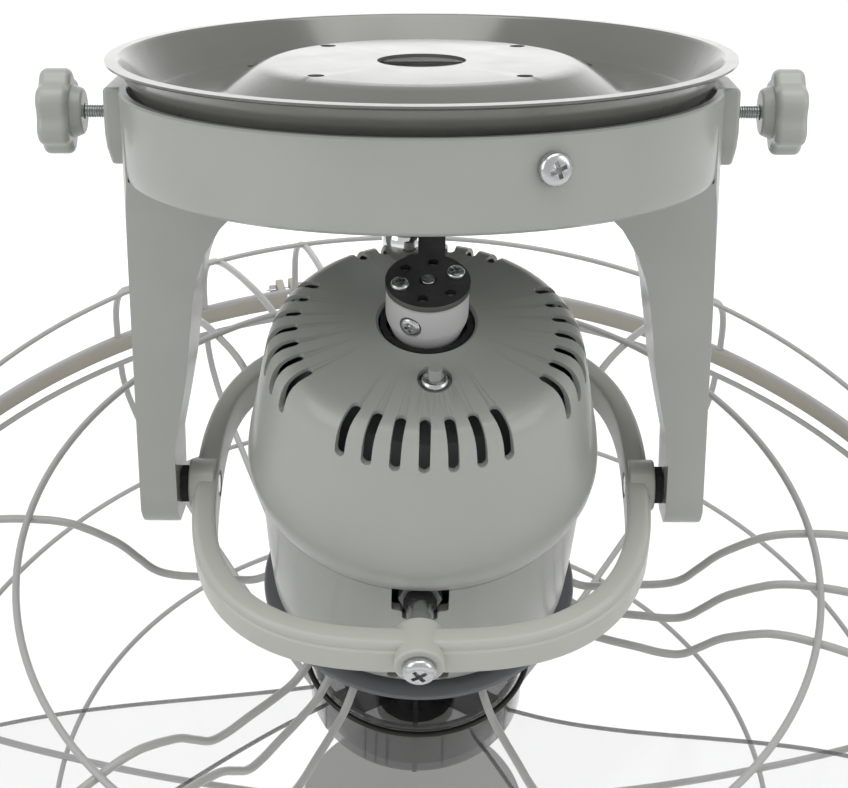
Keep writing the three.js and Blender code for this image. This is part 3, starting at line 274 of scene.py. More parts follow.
# Sprayed enamel: a broad drift of tone, faint handling marks in the gloss and a fine orange peel.
def enamel(name, colour, roughness=0.38, peel=0.05, drift=0.05, coat=0.25, metallic=0.0):
    material, tree, shader = newMaterial(name, colour, roughness, metallic)
    shader.inputs["Coat Weight"].default_value = coat
    shader.inputs["Coat Roughness"].default_value = 0.12
    tone = noise(tree, 14, 4)
    low = tuple(c * (1 - drift) for c in colour)
    high = tuple(min(1, c * (1 + drift)) for c in colour)
    shade = ramp(tree, tone.outputs["Fac"], [(0.3, low), (0.7, high)])
    tree.links.new(shade.outputs["Color"], shader.inputs["Base Color"])
    marks = noise(tree, 60, 6)
    gloss = ramp(
        tree, marks.outputs["Fac"], [(0.35, (roughness - 0.05,) * 3), (0.75, (roughness + 0.07,) * 3)],
    )
    tree.links.new(gloss.outputs["Color"], shader.inputs["Roughness"])
    skin = noise(tree, 900, 2)
    bump(tree, shader, skin.outputs["Fac"], peel, 0.0004)
    return material


# Moulded plastic with a fine spark-eroded grain.
def moulded(name, colour, roughness=0.45, grain=0.12):
    material, tree, shader = newMaterial(name, colour, roughness)
    tone = noise(tree, 25, 3)
    shade = ramp(
        tree, tone.outputs["Fac"],
        [(0.3, tuple(c * 0.95 for c in colour)), (0.7, tuple(min(1, c * 1.04) for c in colour))],
    )
    tree.links.new(shade.outputs["Color"], shader.inputs["Base Color"])
    skin = noise(tree, 1800, 2)
    bump(tree, shader, skin.outputs["Fac"], grain, 0.0003)
    return material


# Plated or bare metal with short drawn marks and uneven gloss.
def metalFinish(name, colour, roughness=0.25, scratch=0.08, stretch=(1, 1, 6)):
    material, tree, shader = newMaterial(name, colour, roughness, 1.0)
    tone = noise(tree, 120, 5)
    shade = ramp(tree, tone.outputs["Fac"], [(0.3, tuple(c * 0.82 for c in colour)), (0.7, colour)])
    tree.links.new(shade.outputs["Color"], shader.inputs["Base Color"])
    marks = noise(tree, 300, 4, stretch)
    gloss = ramp(
        tree, marks.outputs["Fac"],
        [(0.3, (max(0.03, roughness - 0.08),) * 3), (0.8, (roughness + 0.12,) * 3)],
    )
    tree.links.new(gloss.outputs["Color"], shader.inputs["Roughness"])
    bump(tree, shader, marks.outputs["Fac"], scratch, 0.0002)
    return material


# Smoky clear plastic of the fan.
def clearPlastic(name, colour, alpha):
    material, tree, shader = newMaterial(name, colour, 0.12)
    shader.inputs["IOR"].default_value = 1.5
    shader.inputs["Alpha"].default_value = alpha
    shader.inputs["Coat Weight"].default_value = 0.6
    tone = noise(tree, 30, 3)
    shade = ramp(tree, tone.outputs["Fac"], [(0.3, tuple(c * 0.8 for c in colour)), (0.7, colour)])
    tree.links.new(shade.outputs["Color"], shader.inputs["Base Color"])
    flow = noise(tree, 90, 3)
    bump(tree, shader, flow.outputs["Fac"], 0.06, 0.0006)
    return material


# Stacked steel sheets or wound wire: fine rings along the head's axis.
def layered(name, dark, light, spacing, roughness, metallic):
    material, tree, shader = newMaterial(name, light, roughness, metallic)
    coords = tree.nodes.new("ShaderNodeTexCoord")
    mapping = tree.nodes.new("ShaderNodeMapping")
    mapping.inputs["Rotation"].default_value = (-math.radians(pose["tilt"]), 0, 0)
    wave = tree.nodes.new("ShaderNodeTexWave")
    wave.bands_direction = "Z"
    wave.inputs["Scale"].default_value = 1 / (spacing * mm) / 3.2
    wave.inputs["Distortion"].default_value = 0.6
    tree.links.new(coords.outputs["Object"], mapping.inputs["Vector"])
    tree.links.new(mapping.outputs["Vector"], wave.inputs["Vector"])
    shade = ramp(tree, wave.outputs["Fac"], [(0.2, dark), (0.6, light)])
    tree.links.new(shade.outputs["Color"], shader.inputs["Base Color"])
    bump(tree, shader, wave.outputs["Fac"], 0.3, 0.0003)
    return material


finishes = {
    "grey_paint": enamel("greyEnamel", (0.352, 0.362, 0.335), 0.4, coat=0.3),
    "pale_paint": enamel("paleEnamel", (0.44, 0.445, 0.405), 0.42, coat=0.2),
    "dish_paint": enamel("dishEnamel", (0.165, 0.168, 0.15), 0.2, peel=0.01, coat=0.6, metallic=0.3),
    "white_plastic": moulded("whiteNylon", (0.66, 0.66, 0.64)),
    "dark_steel": metalFinish("blackenedSteel", (0.045, 0.045, 0.043), 0.42),
    "zinc_steel": metalFinish("zincPlate", (0.62, 0.63, 0.64), 0.24),
    "chrome": metalFinish("chromePlate", (0.86, 0.86, 0.87), 0.06, 0.01),
    "rubber": moulded("blackRubber", (0.012, 0.012, 0.012), 0.7, 0.2),
    "wire_paint": enamel("wireEnamel", (0.37, 0.37, 0.365), 0.36, coat=0.2),
    "band_plastic": moulded("bandVinyl", (0.4, 0.375, 0.32), 0.5),
    "cast_grey": enamel("castingPaint", (0.17, 0.175, 0.18), 0.5, peel=0.2, coat=0.0),
    "copper": layered("enamelledWire", (0.2, 0.06, 0.02), (0.62, 0.24, 0.09), 0.7, 0.3, 0.7),
    "laminations": layered("coreSheets", (0.06, 0.06, 0.065), (0.3, 0.3, 0.31), 0.5, 0.45, 0.8),
    "gear_plastic": moulded("gearNylon", (0.74, 0.7, 0.58), 0.4),
    "brass": metalFinish("turnedBrass", (0.62, 0.43, 0.16), 0.28),
    "smoky_plastic": clearPlastic("smokyClear", (0.16, 0.15, 0.14), 0.34),
}
discPaint = enamel("hubDiscEnamel", (0.13, 0.135, 0.145), 0.4, coat=0.1)
for node in frame["record"]["subparts"]:
    piece = frame["nodes"][node["node"]]
    piece.data.materials.clear()
    piece.data.materials.append(finishes[node["material_slot"]])
print("finishes made")


# Ceiling dish: a pressed plate whose rolled rim lies against the ceiling

dish = {
    "rim": 91.5, "wallFoot": 82.9, "floor": -12.5, "domeFoot": 59.5, "domeTop": -3.5, "domeRadius": 47,
    "wall": 1.1, "cable": 13, "screwSquare": 58, "slotRadius": 72,
}


def makeDish():
    d = dish
    t = d["wall"]
    outer = [
        (d["cable"], d["domeTop"]), (d["domeRadius"] - 3, d["domeTop"]),
        (d["domeRadius"] - 0.6, d["domeTop"] - 0.4),
        (d["domeRadius"] + 1.4, d["domeTop"] - 1.6), (d["domeFoot"] - 3, d["floor"] + 1.9),
        (d["domeFoot"] - 1, d["floor"] + 0.6),
        (d["domeFoot"] + 1.2, d["floor"]), (d["wallFoot"] - 2.4, d["floor"]),
        (d["wallFoot"] - 0.9, d["floor"] + 0.7),
        (d["wallFoot"], d["floor"] + 2.2), (d["rim"] - 3.4, -1.9), (d["rim"] - 2.4, -1.2),
        (d["rim"] - 0.7, -1.15),
        (d["rim"], -0.7), (d["rim"], -0.1),
    ]
    inner = [
        (d["rim"] - 3.4, 0), (d["rim"] - 4.6, -0.8), (d["wallFoot"] - 1.2, d["floor"] + 3),
        (d["wallFoot"] - 2.6, d["floor"] + t),
        (d["domeFoot"] + 1.4, d["floor"] + t), (d["domeFoot"] - 2.4, d["floor"] + 3),
        (d["domeRadius"] + 1, d["domeTop"] - 0.2), (d["domeRadius"] - 3, d["domeTop"] + t),
        (d["cable"], d["domeTop"] + t),
    ]
    piece = turnPiece("dishPressing", outer + inner, 160)
    half = d["screwSquare"] / 2
    holes = []
    for x in (-half, half):
        for y in (-half, half):
            slot = rodPiece("hole", 2.4, -10, 4, 24, at=(x, y, 0))
            slot.data.transform(Matrix.Identity(4))
            holes.append(slot)
    for azimuth in (-44, -38, -32, 44, 50):
        holes.append(rodPiece("hole", 2.1, -16, -6, 20, at=placeAt(d["slotRadius"], azimuth)))
    for azimuth in (135, 225):
        holes.append(rodPiece("hole", 3.2, -16, -6, 20, at=placeAt(d["slotRadius"], azimuth)))
        holes.append(rodPiece("hole", 1.7, -16, -6, 20, at=placeAt(d["slotRadius"], azimuth + 4)))
    cutWith(piece, *holes)
    finishPiece(
        piece, "ceilingDishPressing", "ceiling", finishes["dish_paint"], ["ceiling_dish"],
    )


makeDish()
print("ceiling dish made")


# Hanging yoke: a ring over the dish with two arms down to the gimbal

yoke = {
    "ring": 88, "top": -8.7, "bottom": -34.6, "wall": 2.6, "padReach": 91.9,
    "padDrop": -31,
    "pivot": -135.3, "end": 11.7, "outerFoot": 87.4, "innerFoot": 75.6, "thumb": -17.5,
    "screwAzimuth": 23,
}


def makeYokeRing():
    y = yoke
    r, t = y["ring"], y["wall"]
    profile = [
        (r - 0.5, y["top"]), (r, y["top"] - 0.6), (r - 0.2, y["top"] - 6), (r - 0.55, y["bottom"] + 6),
        (r - 0.75, y["bottom"] + 3), (r - 1.3, y["bottom"] + 1.3), (r - 2.6, y["bottom"] + 0.3),
        (r - 4, y["bottom"]),
        (r - 9.5, y["bottom"]), (r - 10.1, y["bottom"] + 0.5), (r - 10.1, y["bottom"] + t - 0.6),
        (r - 9.5, y["bottom"] + t),
        (r - t - 1.8, y["bottom"] + t), (r - t - 0.8, y["bottom"] + t + 0.9), (r - t, y["top"] - 0.5),
        (r - t + 0.4, y["top"]),
    ]
    return turnPiece("yokeRing", profile, 160)


def armOutline():
    y = yoke
    root = y["padReach"]
    p, b = y["pivot"], y["bottom"]
    outer = [
        (root, y["top"]), (root, y["padDrop"]), (root - 1.6, b - 6), (root - 2, p * 0.6),
        (y["outerFoot"], p), (y["outerFoot"] - 0.5, p - y["end"] + 2),
        (y["outerFoot"] - 2.6, p - y["end"]),
    ]
    inner = [
        (y["innerFoot"] + 1, p - y["end"]), (y["innerFoot"], p - y["end"] + 1.5),
        (y["innerFoot"], p + y["end"] + 4),
        (y["innerFoot"] - 2.4, p + 27), (y["innerFoot"] - 4.9, p + 40), (y["innerFoot"] - 6.4, p + 52),
        (root - 24.4, b - 36),
        (root - 26.1, b - 29), (root - 28.6, b - 22), (root - 33.4, b - 14), (root - 39.6, b - 7.5),
        (root - 45.5, b - 3.4), (root - 49, b - 1.4),
    ]
    return outer, inner


print("yoke ready")


# The front view of an arm is cut by its side view, which narrows to a round end about the pin.
def makeArm(side):
    y = yoke
    outer, inner = armOutline()
    ringInside = y["ring"] - y["wall"]
    root = [
        (ringInside - 2, y["bottom"] + 1.2), (ringInside - 2, y["top"] - 3),
        (y["ring"] - 1.6, y["top"]),
    ]
    front = platePiece(
        "armFront", [(x, -z) for x, z in outer[1:] + inner + root + [(y["padReach"] - 4, y["top"])]],
        -26, 26,
    )
    front.data.transform(Matrix.Rotation(math.radians(-90), 4, "X"))
    end = [
        (
            y["end"] * math.cos(a), y["pivot"] - y["end"] * math.sin(a),
        ) for a in [math.pi * i / 24 for i in range(25)]
    ]
    flank = [
        (25.5, y["bottom"]), (22.6, y["bottom"] - 4.5), (20.2, y["bottom"] - 10),
        (18.6, y["bottom"] - 18), (16.9, y["pivot"] * 0.5), (14.6, y["pivot"] * 0.66),
    ]
    mirrored = [(-a, b) for a, b in reversed(flank)]
    profile = [(-25.5, y["top"]), (25.5, y["top"])] + flank + end + mirrored
    sides = platePiece("armSide", profile, 20, 110)
    sides.data.transform(
        Matrix.Rotation(math.radians(90), 4, "Z") @ Matrix.Rotation(math.radians(90), 4, "X")
    )
    modifier = front.modifiers.new("meet", "BOOLEAN")
    modifier.operation = "INTERSECT"
    modifier.solver = "EXACT"
    modifier.object = sides
    applyAll(front)
    bpy.data.objects.remove(sides)
    trimmed = rodPiece("round", y["ring"] - 0.2, y["pivot"] - 30, y["top"] + 5, 128)
    trimmer = front.modifiers.new("meet", "BOOLEAN")
    trimmer.operation = "INTERSECT"
    trimmer.solver = "EXACT"
    trimmer.object = trimmed
    applyAll(front)
    bpy.data.objects.remove(trimmed)
    bevelled(front, 1.6, 4, 28)
    outside = rodPiece("trim", y["ring"] - 1.5, y["bottom"] + 0.8, 5, 96)
    cutWith(front, outside)
    socket = rodPiece(
        "socket", 5.6, y["outerFoot"] - 3, 120, 32, turn=(0, 90, 0), at=(0, 0, y["pivot"]),
    )
    bore = rodPiece("bore", 4.4, 50, 120, 32, turn=(0, 90, 0), at=(0, 0, y["pivot"]))
    cutWith(front, socket, bore)
    if side < 0:
        front.data.transform(Matrix.Rotation(math.pi, 4, "Z"))
    return front


# Flat pad under each thumb screw, its lower end drawn to a blunt point.
def makePad(side):
    y = yoke
    outline = [
        (-12, y["top"]), (12, y["top"]), (12, y["padDrop"] + 9), (9.5, y["padDrop"] + 4),
        (2.5, y["padDrop"] - 2), (-2.5, y["padDrop"] - 2), (-9.5, y["padDrop"] + 4),
        (-12, y["padDrop"] + 9),
    ]
    pad = platePiece("pad", outline, 84, y["padReach"])
    pad.data.transform(
        Matrix.Rotation(math.radians(90), 4, "Z") @ Matrix.Rotation(math.radians(90), 4, "X")
    )
    bevelled(pad, 1.3, 4, 40)
    if side < 0:
        pad.data.transform(Matrix.Rotation(math.pi, 4, "Z"))
    return pad


def makeYoke():
    y = yoke
    ring = makeYokeRing()
    weldWith(ring, makeArm(1), makeArm(-1), makePad(1), makePad(-1))
    thumbs = rodPiece("thumbHole", 2.4, -130, 130, 32, turn=(0, 90, 0), at=(0, 0, y["thumb"]))
    cutWith(ring, thumbs)
    for azimuth in (y["screwAzimuth"], y["screwAzimuth"] + 180):
        cutWith(
            ring, rodPiece("screwHole", 2.2, 60, 120, 24, turn=(90, 0, azimuth), at=(0, 0, y["thumb"])),
        )
    finishPiece(
        ring, "hangerYokeCasting", "ceiling", finishes["grey_paint"], ["hanger_yoke"],
        angle=32,
    )


makeYoke()
print("yoke made")


# Screws: a pan head with a pressed cross recess

def panScrew(name, headRadius, headHeight, shankRadius, shankLength):
    dome = [
        (0, 0), (headRadius - 0.15, 0), (headRadius, headHeight * 0.12),
        (headRadius, headHeight * 0.32),
    ]
    for i in range(1, 9):
        turn = math.pi / 2 * i / 8
        dome.append(
            (
                headRadius * 0.55 + headRadius * 0.45 * math.cos(turn),
                headHeight * (0.32 + 0.62 * math.sin(turn)),
            )
        )
    dome.append((0, headHeight))
    head = turnPiece(name, dome, 48, closed=False)
    arms = []
    for turn in (0, 90):
        arm = blockPiece(
            "cross", (-headRadius * 0.13, -headRadius * 0.52, headHeight * 0.35),
            (headRadius * 0.13, headRadius * 0.52, headHeight + 2), turn=(0, 0, turn),
        )
        arms.append(arm)
    heart = rodPiece(
        "heart", headRadius * 0.12, headHeight * 0.2, headHeight + 1, 4, topRadius=headRadius * 0.36,
    )
    cutWith(head, heart, *arms)
    bevelled(head, headRadius * 0.03, 2, 50)
    if shankLength:
        shank = rodPiece("shank", shankRadius, -shankLength, headHeight * 0.15, 24)
        joined(head, shank)
    return head


screws = {
    "ring": {"head": 4.6, "high": 2.9, "shank": 1.7, "length": 6, "radius": 88.25, "height": -17.5},
    "cover": {"head": 4.0, "high": 2.3, "shank": 1.7, "length": 8, "radius": 24},
    "pivot": {"head": 5.0, "high": 3.3},
}


def addRingScrews():
    s = screws["ring"]
    for tag, azimuth, twist in (
        ("front", yoke["screwAzimuth"], 20), ("rear", yoke["screwAzimuth"] + 180, 65),
    ):
        screw = panScrew("ringScrew", s["head"], s["high"], s["shank"], s["length"])
        moveTo(screw, turn=(0, 0, twist))
        moveTo(screw, turn=(90, 0, azimuth), at=placeAt(s["radius"], azimuth, s["height"]))
        finishPiece(
            screw, "ringScrew_" + tag, "ceiling", finishes["zinc_steel"],
            ["ring_screw_" + tag],
        )


addRingScrews()
print("ring screws made")


# Upper cover: a tapered dome with four groups of vents

cover = {
    "top": 67.6, "hole": 14.1, "wall": 1.9, "vents": 7, "pitch": 10, "width": 3.2, "ventInner": 37.2,
    "ventLow": 52.3,
    "screwCircle": 24, "screwSeat": 64.6, "screwTurns": (6, 186),
    "outside": [
        (14.1, 66.9), (14.9, 67.5), (38.2, 63.9), (40.6, 63.4), (42.6, 62.7), (44.3, 61.5),
        (45.6, 59.9), (46.6, 57.8), (47.3, 55.2),
        (49.4, 44), (51.2, 34), (52.8, 26), (53.7, 19.5), (53.8, 16), (53.3, 12.8), (52.2, 9.8),
        (50.9, 7.5), (50.3, 6.4), (50.0, 6.1),
    ],
}


def ventCutter():
    c = cover
    half = c["width"] / 2
    slot = blockPiece(
        "slot", (-half, -60, c["ventLow"] + half), (half, -c["ventInner"] - half, c["top"] + 5),
    )
    upper = rodPiece(
        "upperEnd", half, c["ventLow"] + half, c["top"] + 5, 20, at=(0, -c["ventInner"] - half, 0),
    )
    lower = rodPiece("lowerEnd", half, 40, 60, 20, turn=(90, 0, 0), at=(0, 0, c["ventLow"] + half))
    return weldWith(slot, upper, lower)


def makeCover():
    c = cover
    inside = []
    for r, z in c["outside"][1:]:
        slope = min(1, max(0, (c["top"] - z) / 10.8))
        inside.append((r - c["wall"] * slope, z - c["wall"] * (1 - slope) if z > 10 else z))
    shell = turnPiece(
        "cover", c["outside"] + inside[::-1] + [(c["hole"], c["top"] - c["wall"] - 0.2)], 144,
    )
    first = ventCutter()
    cutters = []
    for group in range(4):
        for i in range(c["vents"]):
            copy = copyOf(first, "vent")
            moveTo(copy, turn=(0, 0, 90 * group + c["pitch"] * (i - (c["vents"] - 1) / 2)))
            cutters.append(copy)
    bpy.data.objects.remove(first)
    cutWith(shell, joined(*cutters))
    for azimuth in c["screwTurns"]:
        seat = rodPiece(
            "seat", 4.8, c["screwSeat"], c["top"] + 3, 40, at=placeAt(c["screwCircle"], azimuth),
            topRadius=5.6,
        )
        bore = rodPiece("bore", 2.0, 50, c["top"] + 3, 24, at=placeAt(c["screwCircle"], azimuth))
        cutWith(shell, seat, bore)
    bevelled(shell, 0.35, 2, 50)
    finishPiece(
        shell, "upperCoverShell", "head", finishes["grey_paint"], ["upper_cover"],
        headFrame, 40,
    )
    s = screws["cover"]
    for i, azimuth in enumerate(c["screwTurns"]):
        screw = panScrew("coverScrew", s["head"], s["high"], s["shank"], s["length"])
        moveTo(
            screw, turn=(0, 0, 30 + 25 * i),
            at=placeAt(c["screwCircle"], azimuth, c["screwSeat"] + 0.1),
        )
        tag = str(i + 1)
        finishPiece(
            screw, "coverScrew_" + tag, "head", finishes["zinc_steel"],
            ["cover_screw_" + tag], headFrame,
        )


makeCover()
print("upper cover made")


# Lower housing: a cup with windows for the pivots and slots round its lower edge

housing = {
    "top": 49.6, "foot": 47.6, "low": -41, "wall": 1.8, "lip": 6.4, "hole": 19, "window": 17,
    "windowFloor": -7.4,
}


def makeHousing():
    h = housing
    t = h["wall"]
    profile = [
        (h["top"] - 1.2, h["lip"] + 4), (h["top"] - 1, h["lip"] - 0.5), (h["top"], h["lip"] - 1.4),
        (h["top"], -6), (h["top"] - 0.8, -22), (h["foot"] + 0.2, h["low"] + 6),
        (h["foot"] - 0.2, h["low"] + 3), (h["foot"] - 1.2, h["low"] + 1.2), (h["foot"] - 3, h["low"]),
        (h["hole"], h["low"]),
        (h["hole"], h["low"] + t), (h["foot"] - 4, h["low"] + t),
        (h["foot"] - t - 0.8, h["low"] + t + 2.5),
        (h["top"] - t - 0.8, -22), (h["top"] - t - 1, -6), (h["top"] - t - 1.2, h["lip"] + 4),
    ]
    shell = turnPiece("housing", profile, 144)
    half = h["window"] / 2
    cutters = []
    for turn in (0, 180):
        opening = blockPiece(
            "window", (-half, -60, h["windowFloor"] + 3.6), (half, -38, 14), turn=(0, 0, turn),
        )
        step = blockPiece(
            "window", (3.2 - half, -60, h["windowFloor"]), (half - 3.2, -38, 14), turn=(0, 0, turn),
        )
        cutters.append(bevelled(weldWith(opening, step), 0.9, 3, 50))
    for middle in (0, 90, 180, 270):
        for i in (-1, 0, 1):
            slot = blockPiece(
                "slot", (-1.75, -60, h["low"] + 3), (1.75, -40, h["low"] + 9.5),
                turn=(0, 0, middle + i * 9.5),
            )
            cutters.append(bevelled(slot, 1.2, 3, 50))
    cutWith(shell, *cutters)
    bevelled(shell, 0.3, 2, 50)
    finishPiece(
        shell, "lowerHousingCup", "head", finishes["grey_paint"], ["lower_housing"],
        headFrame, 40,
    )


makeHousing()
print("lower housing made")


# Gimbal ring: a cast hoop, a little square, with a ridge under its upper edge

gimbal = {
    "radius": 74.6, "square": 3.5, "wall": 7.6, "height": 12.2, "sideBoss": 8, "sideFace": 72.7,
    "frontBoss": 7.4, "frontFace": 73.7, "bore": 4.3,
}


def hoopOutline(radius, count=144):
    points = []
    for i in range(count):
        turn = 2 * math.pi * i / count
        r = radius - gimbal["square"] * math.cos(4 * turn)
        points.append((r * math.cos(turn), r * math.sin(turn)))
    return points


# The hoop's cross-section is carried round its square outline, with one ring of vertices
# for each corner of the section.
def makeHoop():
    g = gimbal
    half = g["height"] / 2
    section = [
        (0, 0.6 - half), (0, half - 3.4), (-0.75, half - 2.9), (-0.85, half - 1.2), (-1.5, half - 0.3),
        (-2.4, half),
        (-g["wall"] + 1.4, half), (-g["wall"] + 0.4, half - 0.5), (-g["wall"], half - 1.5),
        (-g["wall"], 1.5 - half),
        (-g["wall"] + 0.6, 0.4 - half), (-g["wall"] + 1.6, -half), (-1.2, -half), (-0.4, 0.2 - half),
    ]
    count = 144
    startClean()
    bpy.ops.mesh.primitive_torus_add(
        major_segments=count, minor_segments=len(section), major_radius=0.07, minor_radius=0.004,
    )
    hoop = bpy.context.object
    points = hoopOutline(0)
    for i, vertex in enumerate(hoop.data.vertices):
        k = i // len(section)
        out, z = section[i % len(section)]
        turn = 2 * math.pi * k / count
        r = g["radius"] + out - g["square"] * math.cos(4 * turn)
        vertex.co = (r * math.cos(turn) * mm, r * math.sin(turn) * mm, z * mm)
    return cleanUp(hoop, 40)


def makeGimbal():
    g = gimbal
    hoop = makeHoop()
    near = g["radius"] - g["square"] - g["wall"] + 1
    bosses = []
    for turn in (0, 180):
        side = rodPiece("boss", g["sideBoss"], near, g["sideFace"], 64, turn=(0, 90, 0))
        bosses.append(bevelled(moveTo(side, turn=(0, 0, turn)), 0.8, 3, 50))
        front = rodPiece("boss", g["frontBoss"], near - 3.6, g["frontFace"], 64, turn=(90, 0, 0))
        bosses.append(bevelled(moveTo(front, turn=(0, 0, turn)), 0.8, 3, 50))
    weldWith(hoop, *bosses)
    across = rodPiece("bore", g["bore"], -100, 100, 40, turn=(0, 90, 0))
    along = rodPiece("bore", g["bore"], -100, 100, 40, turn=(90, 0, 0))
    cutWith(hoop, across, along)
    finishPiece(
        hoop, "gimbalHoop", "gimbal", finishes["pale_paint"], ["gimbal_ring"],
        gimbalFrame, 38,
    )
    s = screws["pivot"]
    for tag, azimuth in (("front", 0), ("rear", 180)):
        screw = panScrew("pivotScrew", s["head"], s["high"], 4, 25)
        moveTo(screw, turn=(0, 0, 35))
        moveTo(screw, turn=(90, 0, azimuth), at=placeAt(g["frontFace"] + 0.35, azimuth))
        finishPiece(
            screw, "pivotScrew_" + tag, "gimbal", finishes["zinc_steel"],
            ["pivot_screw_" + tag], gimbalFrame,
        )


makeGimbal()
print("gimbal made")


# Thumb screws with lobed knobs

knob = {"radius": 12.6, "near": 99.4, "far": 111.9, "thread": 2.0, "pitch": 0.7, "axis": -17.5}


def makeKnob(tag, side):
    k = knob
    outline = []
    for i in range(144):
        turn = 2 * math.pi * i / 144
        dip = 0.5 + 0.5 * math.cos(6 * turn)
        r = k["radius"] - 1.9 * (1 - dip) ** 1.6
        outline.append((r * math.cos(turn), r * math.sin(turn)))
    wheel = platePiece("knob", outline, k["near"] + 3.2, k["far"])
    bevelled(wheel, 2.1, 5, 40)
    collar = bevelled(rodPiece("collar", 6.6, k["near"], k["near"] + 5, 48, topRadius=8.6), 0.7, 3, 50)
    recess = rodPiece("hollow", 7.4, k["far"] - 1.2, k["far"] + 2, 64, topRadius=8.8)
    bore = rodPiece("bore", k["thread"] + 0.35, k["near"] - 2, k["near"] + 8, 32)
    weldWith(wheel, collar)
    cutWith(wheel, recess, bore)
    moveTo(wheel, turn=(0, 90, 0), at=(0, 0, k["axis"]))
    moveTo(wheel, turn=(0, 0, 0 if side > 0 else 180))
    finishPiece(
        wheel, "thumbKnob_" + tag, "thumb_" + tag, finishes["grey_paint"],
        ["thumb_knob_" + tag],
    )
    # the thread is a stack of fine ridges
    profile = []
    x = 84.1
    while x < 107:
        profile += [(k["thread"] - 0.3, x), (k["thread"], x + k["pitch"] * 0.4)]
        x += k["pitch"]
    screw = turnPiece(
        "thread", [(0, 84.1)] + profile + [(k["thread"] - 0.3, 107.1), (0, 107.1)], 24, closed=False,
    )
    moveTo(screw, turn=(0, 90, 0), at=(0, 0, k["axis"]))
    moveTo(screw, turn=(0, 0, 0 if side > 0 else 180))
    finishPiece(
        screw, "thumbScrew_" + tag, "thumb_" + tag, finishes["zinc_steel"],
        ["thumb_screw_" + tag], angle=60,
    )


makeKnob("right", 1)
makeKnob("left", -1)
print("knobs made")


# Guard: round wires welded to hoops, and the band round their edge

guard = {
    "wire": 1.2, "fine": 1.0, "spoke": 1.35, "disc": 51, "rearHoop": 219.9,
    "band": 224.5, "bandDepth": 104.4, "bandHeight": 9.4, "bandWall": 1.6, "clip": -165,
    "front": [85, -35, -155], "pitch": 10.5, "single": [25, 145, -95],
}


# A wire drawn as a curve through listed stops, given a round section and turned into a mesh.
def wireThrough(name, points, radius, closed=False):
    startClean()
    bpy.ops.curve.primitive_bezier_curve_add()
    obj = bpy.context.object
    data = obj.data
    data.splines.clear()
    spline = data.splines.new("BEZIER")
    spline.bezier_points.add(len(points) - 1)
    for stop, point in zip(spline.bezier_points, points):
        stop.co = [v * mm for v in point]
        stop.handle_left_type = stop.handle_right_type = "AUTO"
    spline.use_cyclic_u = closed
    data.resolution_u = 7
    data.bevel_depth = radius * mm
    data.bevel_resolution = 3
    data.use_fill_caps = True
    pick(obj)
    bpy.ops.object.convert(target="MESH")
    obj = bpy.context.object
    obj.name = name
    return obj


def hoopOf(name, radius, height, wire):
    startClean()
    bpy.ops.mesh.primitive_torus_add(
        major_segments=192, minor_segments=12, major_radius=radius * mm, minor_radius=wire * mm,
    )
    hoop = bpy.context.object
    hoop.name = name
    return moveTo(hoop, at=(0, 0, height))


def spokeAzimuths():
    g = guard
    return [middle + i * g["pitch"] for middle in g["front"] for i in (-1, 0, 1)] + g["single"]


# Rear spokes run flat under the motor, kink up over a knee and fall in a bow to the band.
def makeRearGuard():
    g = guard
    stops = [
        (47, -46.2), (51, -49.5), (55.5, -52), (62, -52.8), (74, -53), (84, -53), (89, -51.4),
        (94, -46.5), (100, -40.2),
        (105, -37), (110, -34.4), (116, -32.2), (129.6, -31.8), (145, -34.2), (161, -39), (178, -45.4),
        (192.8, -52.4), (206, -61.5),
        (214, -70.5), (218.2, -81), (219.9, -96),
    ]
    parts = [
        hoopOf("hoop", 129.6, -30.4, g["wire"]), hoopOf("hoop", 192.8, -51.1, g["fine"]),
        hoopOf("hoop", g["rearHoop"], -97.3, g["wire"]), hoopOf("anchor", 47, -45.6, 1.8),
    ]
    first = wireThrough("spoke", [placeAt(r, 0, z) for r, z in stops], g["spoke"])
    for azimuth in spokeAzimuths():
        parts.append(moveTo(copyOf(first, "spoke"), turn=(0, 0, azimuth)))
    bpy.data.objects.remove(first)
    cage = joined(parts[0], *parts[1:])
    finishPiece(
        cage, "rearGuardWires", "head", finishes["wire_paint"], ["rear_guard"], headFrame,
        60,
    )
    disc = turnPiece(
        "disc",
        [
            (24, -42.4), (49.6, -42.4), (50.6, -42.7), (51, -43.4), (50.6, -44.1), (49.6, -44.4),
            (24, -44.4),
        ],
        144,
    )
    finishPiece(disc, "guardDisc", "head", discPaint, (), headFrame)


def makeFrontGuard():
    g = guard
    stops = [
        (219.9, -111.4), (218.4, -121), (213, -130), (201, -139), (183.8, -145.2), (158, -154.4),
        (132, -161.5), (100, -168), (70, -171.5), (40, -173.8),
    ]
    parts = [
        hoopOf("hoop", 183.8, -146.4, g["fine"]), hoopOf("hoop", 132, -162.7, g["fine"]),
        hoopOf("hoop", g["rearHoop"], -111.5, g["wire"]),
    ]
    first = wireThrough("spoke", [placeAt(r, 0, z) for r, z in stops], g["spoke"])
    for azimuth in spokeAzimuths():
        parts.append(moveTo(copyOf(first, "spoke"), turn=(0, 0, azimuth)))
    bpy.data.objects.remove(first)
    plateFront = turnPiece(
        "nose",
        [(0, -173), (40.6, -173), (42, -173.8), (42, -175), (38, -176.8), (30, -177.8), (0, -178)], 96,
        closed=False,
    )
    cage = joined(parts[0], *parts[1:], plateFront)
    finishPiece(
        cage, "frontGuardWires", "head", finishes["wire_paint"], ["front_guard"],
        headFrame, 60,
    )


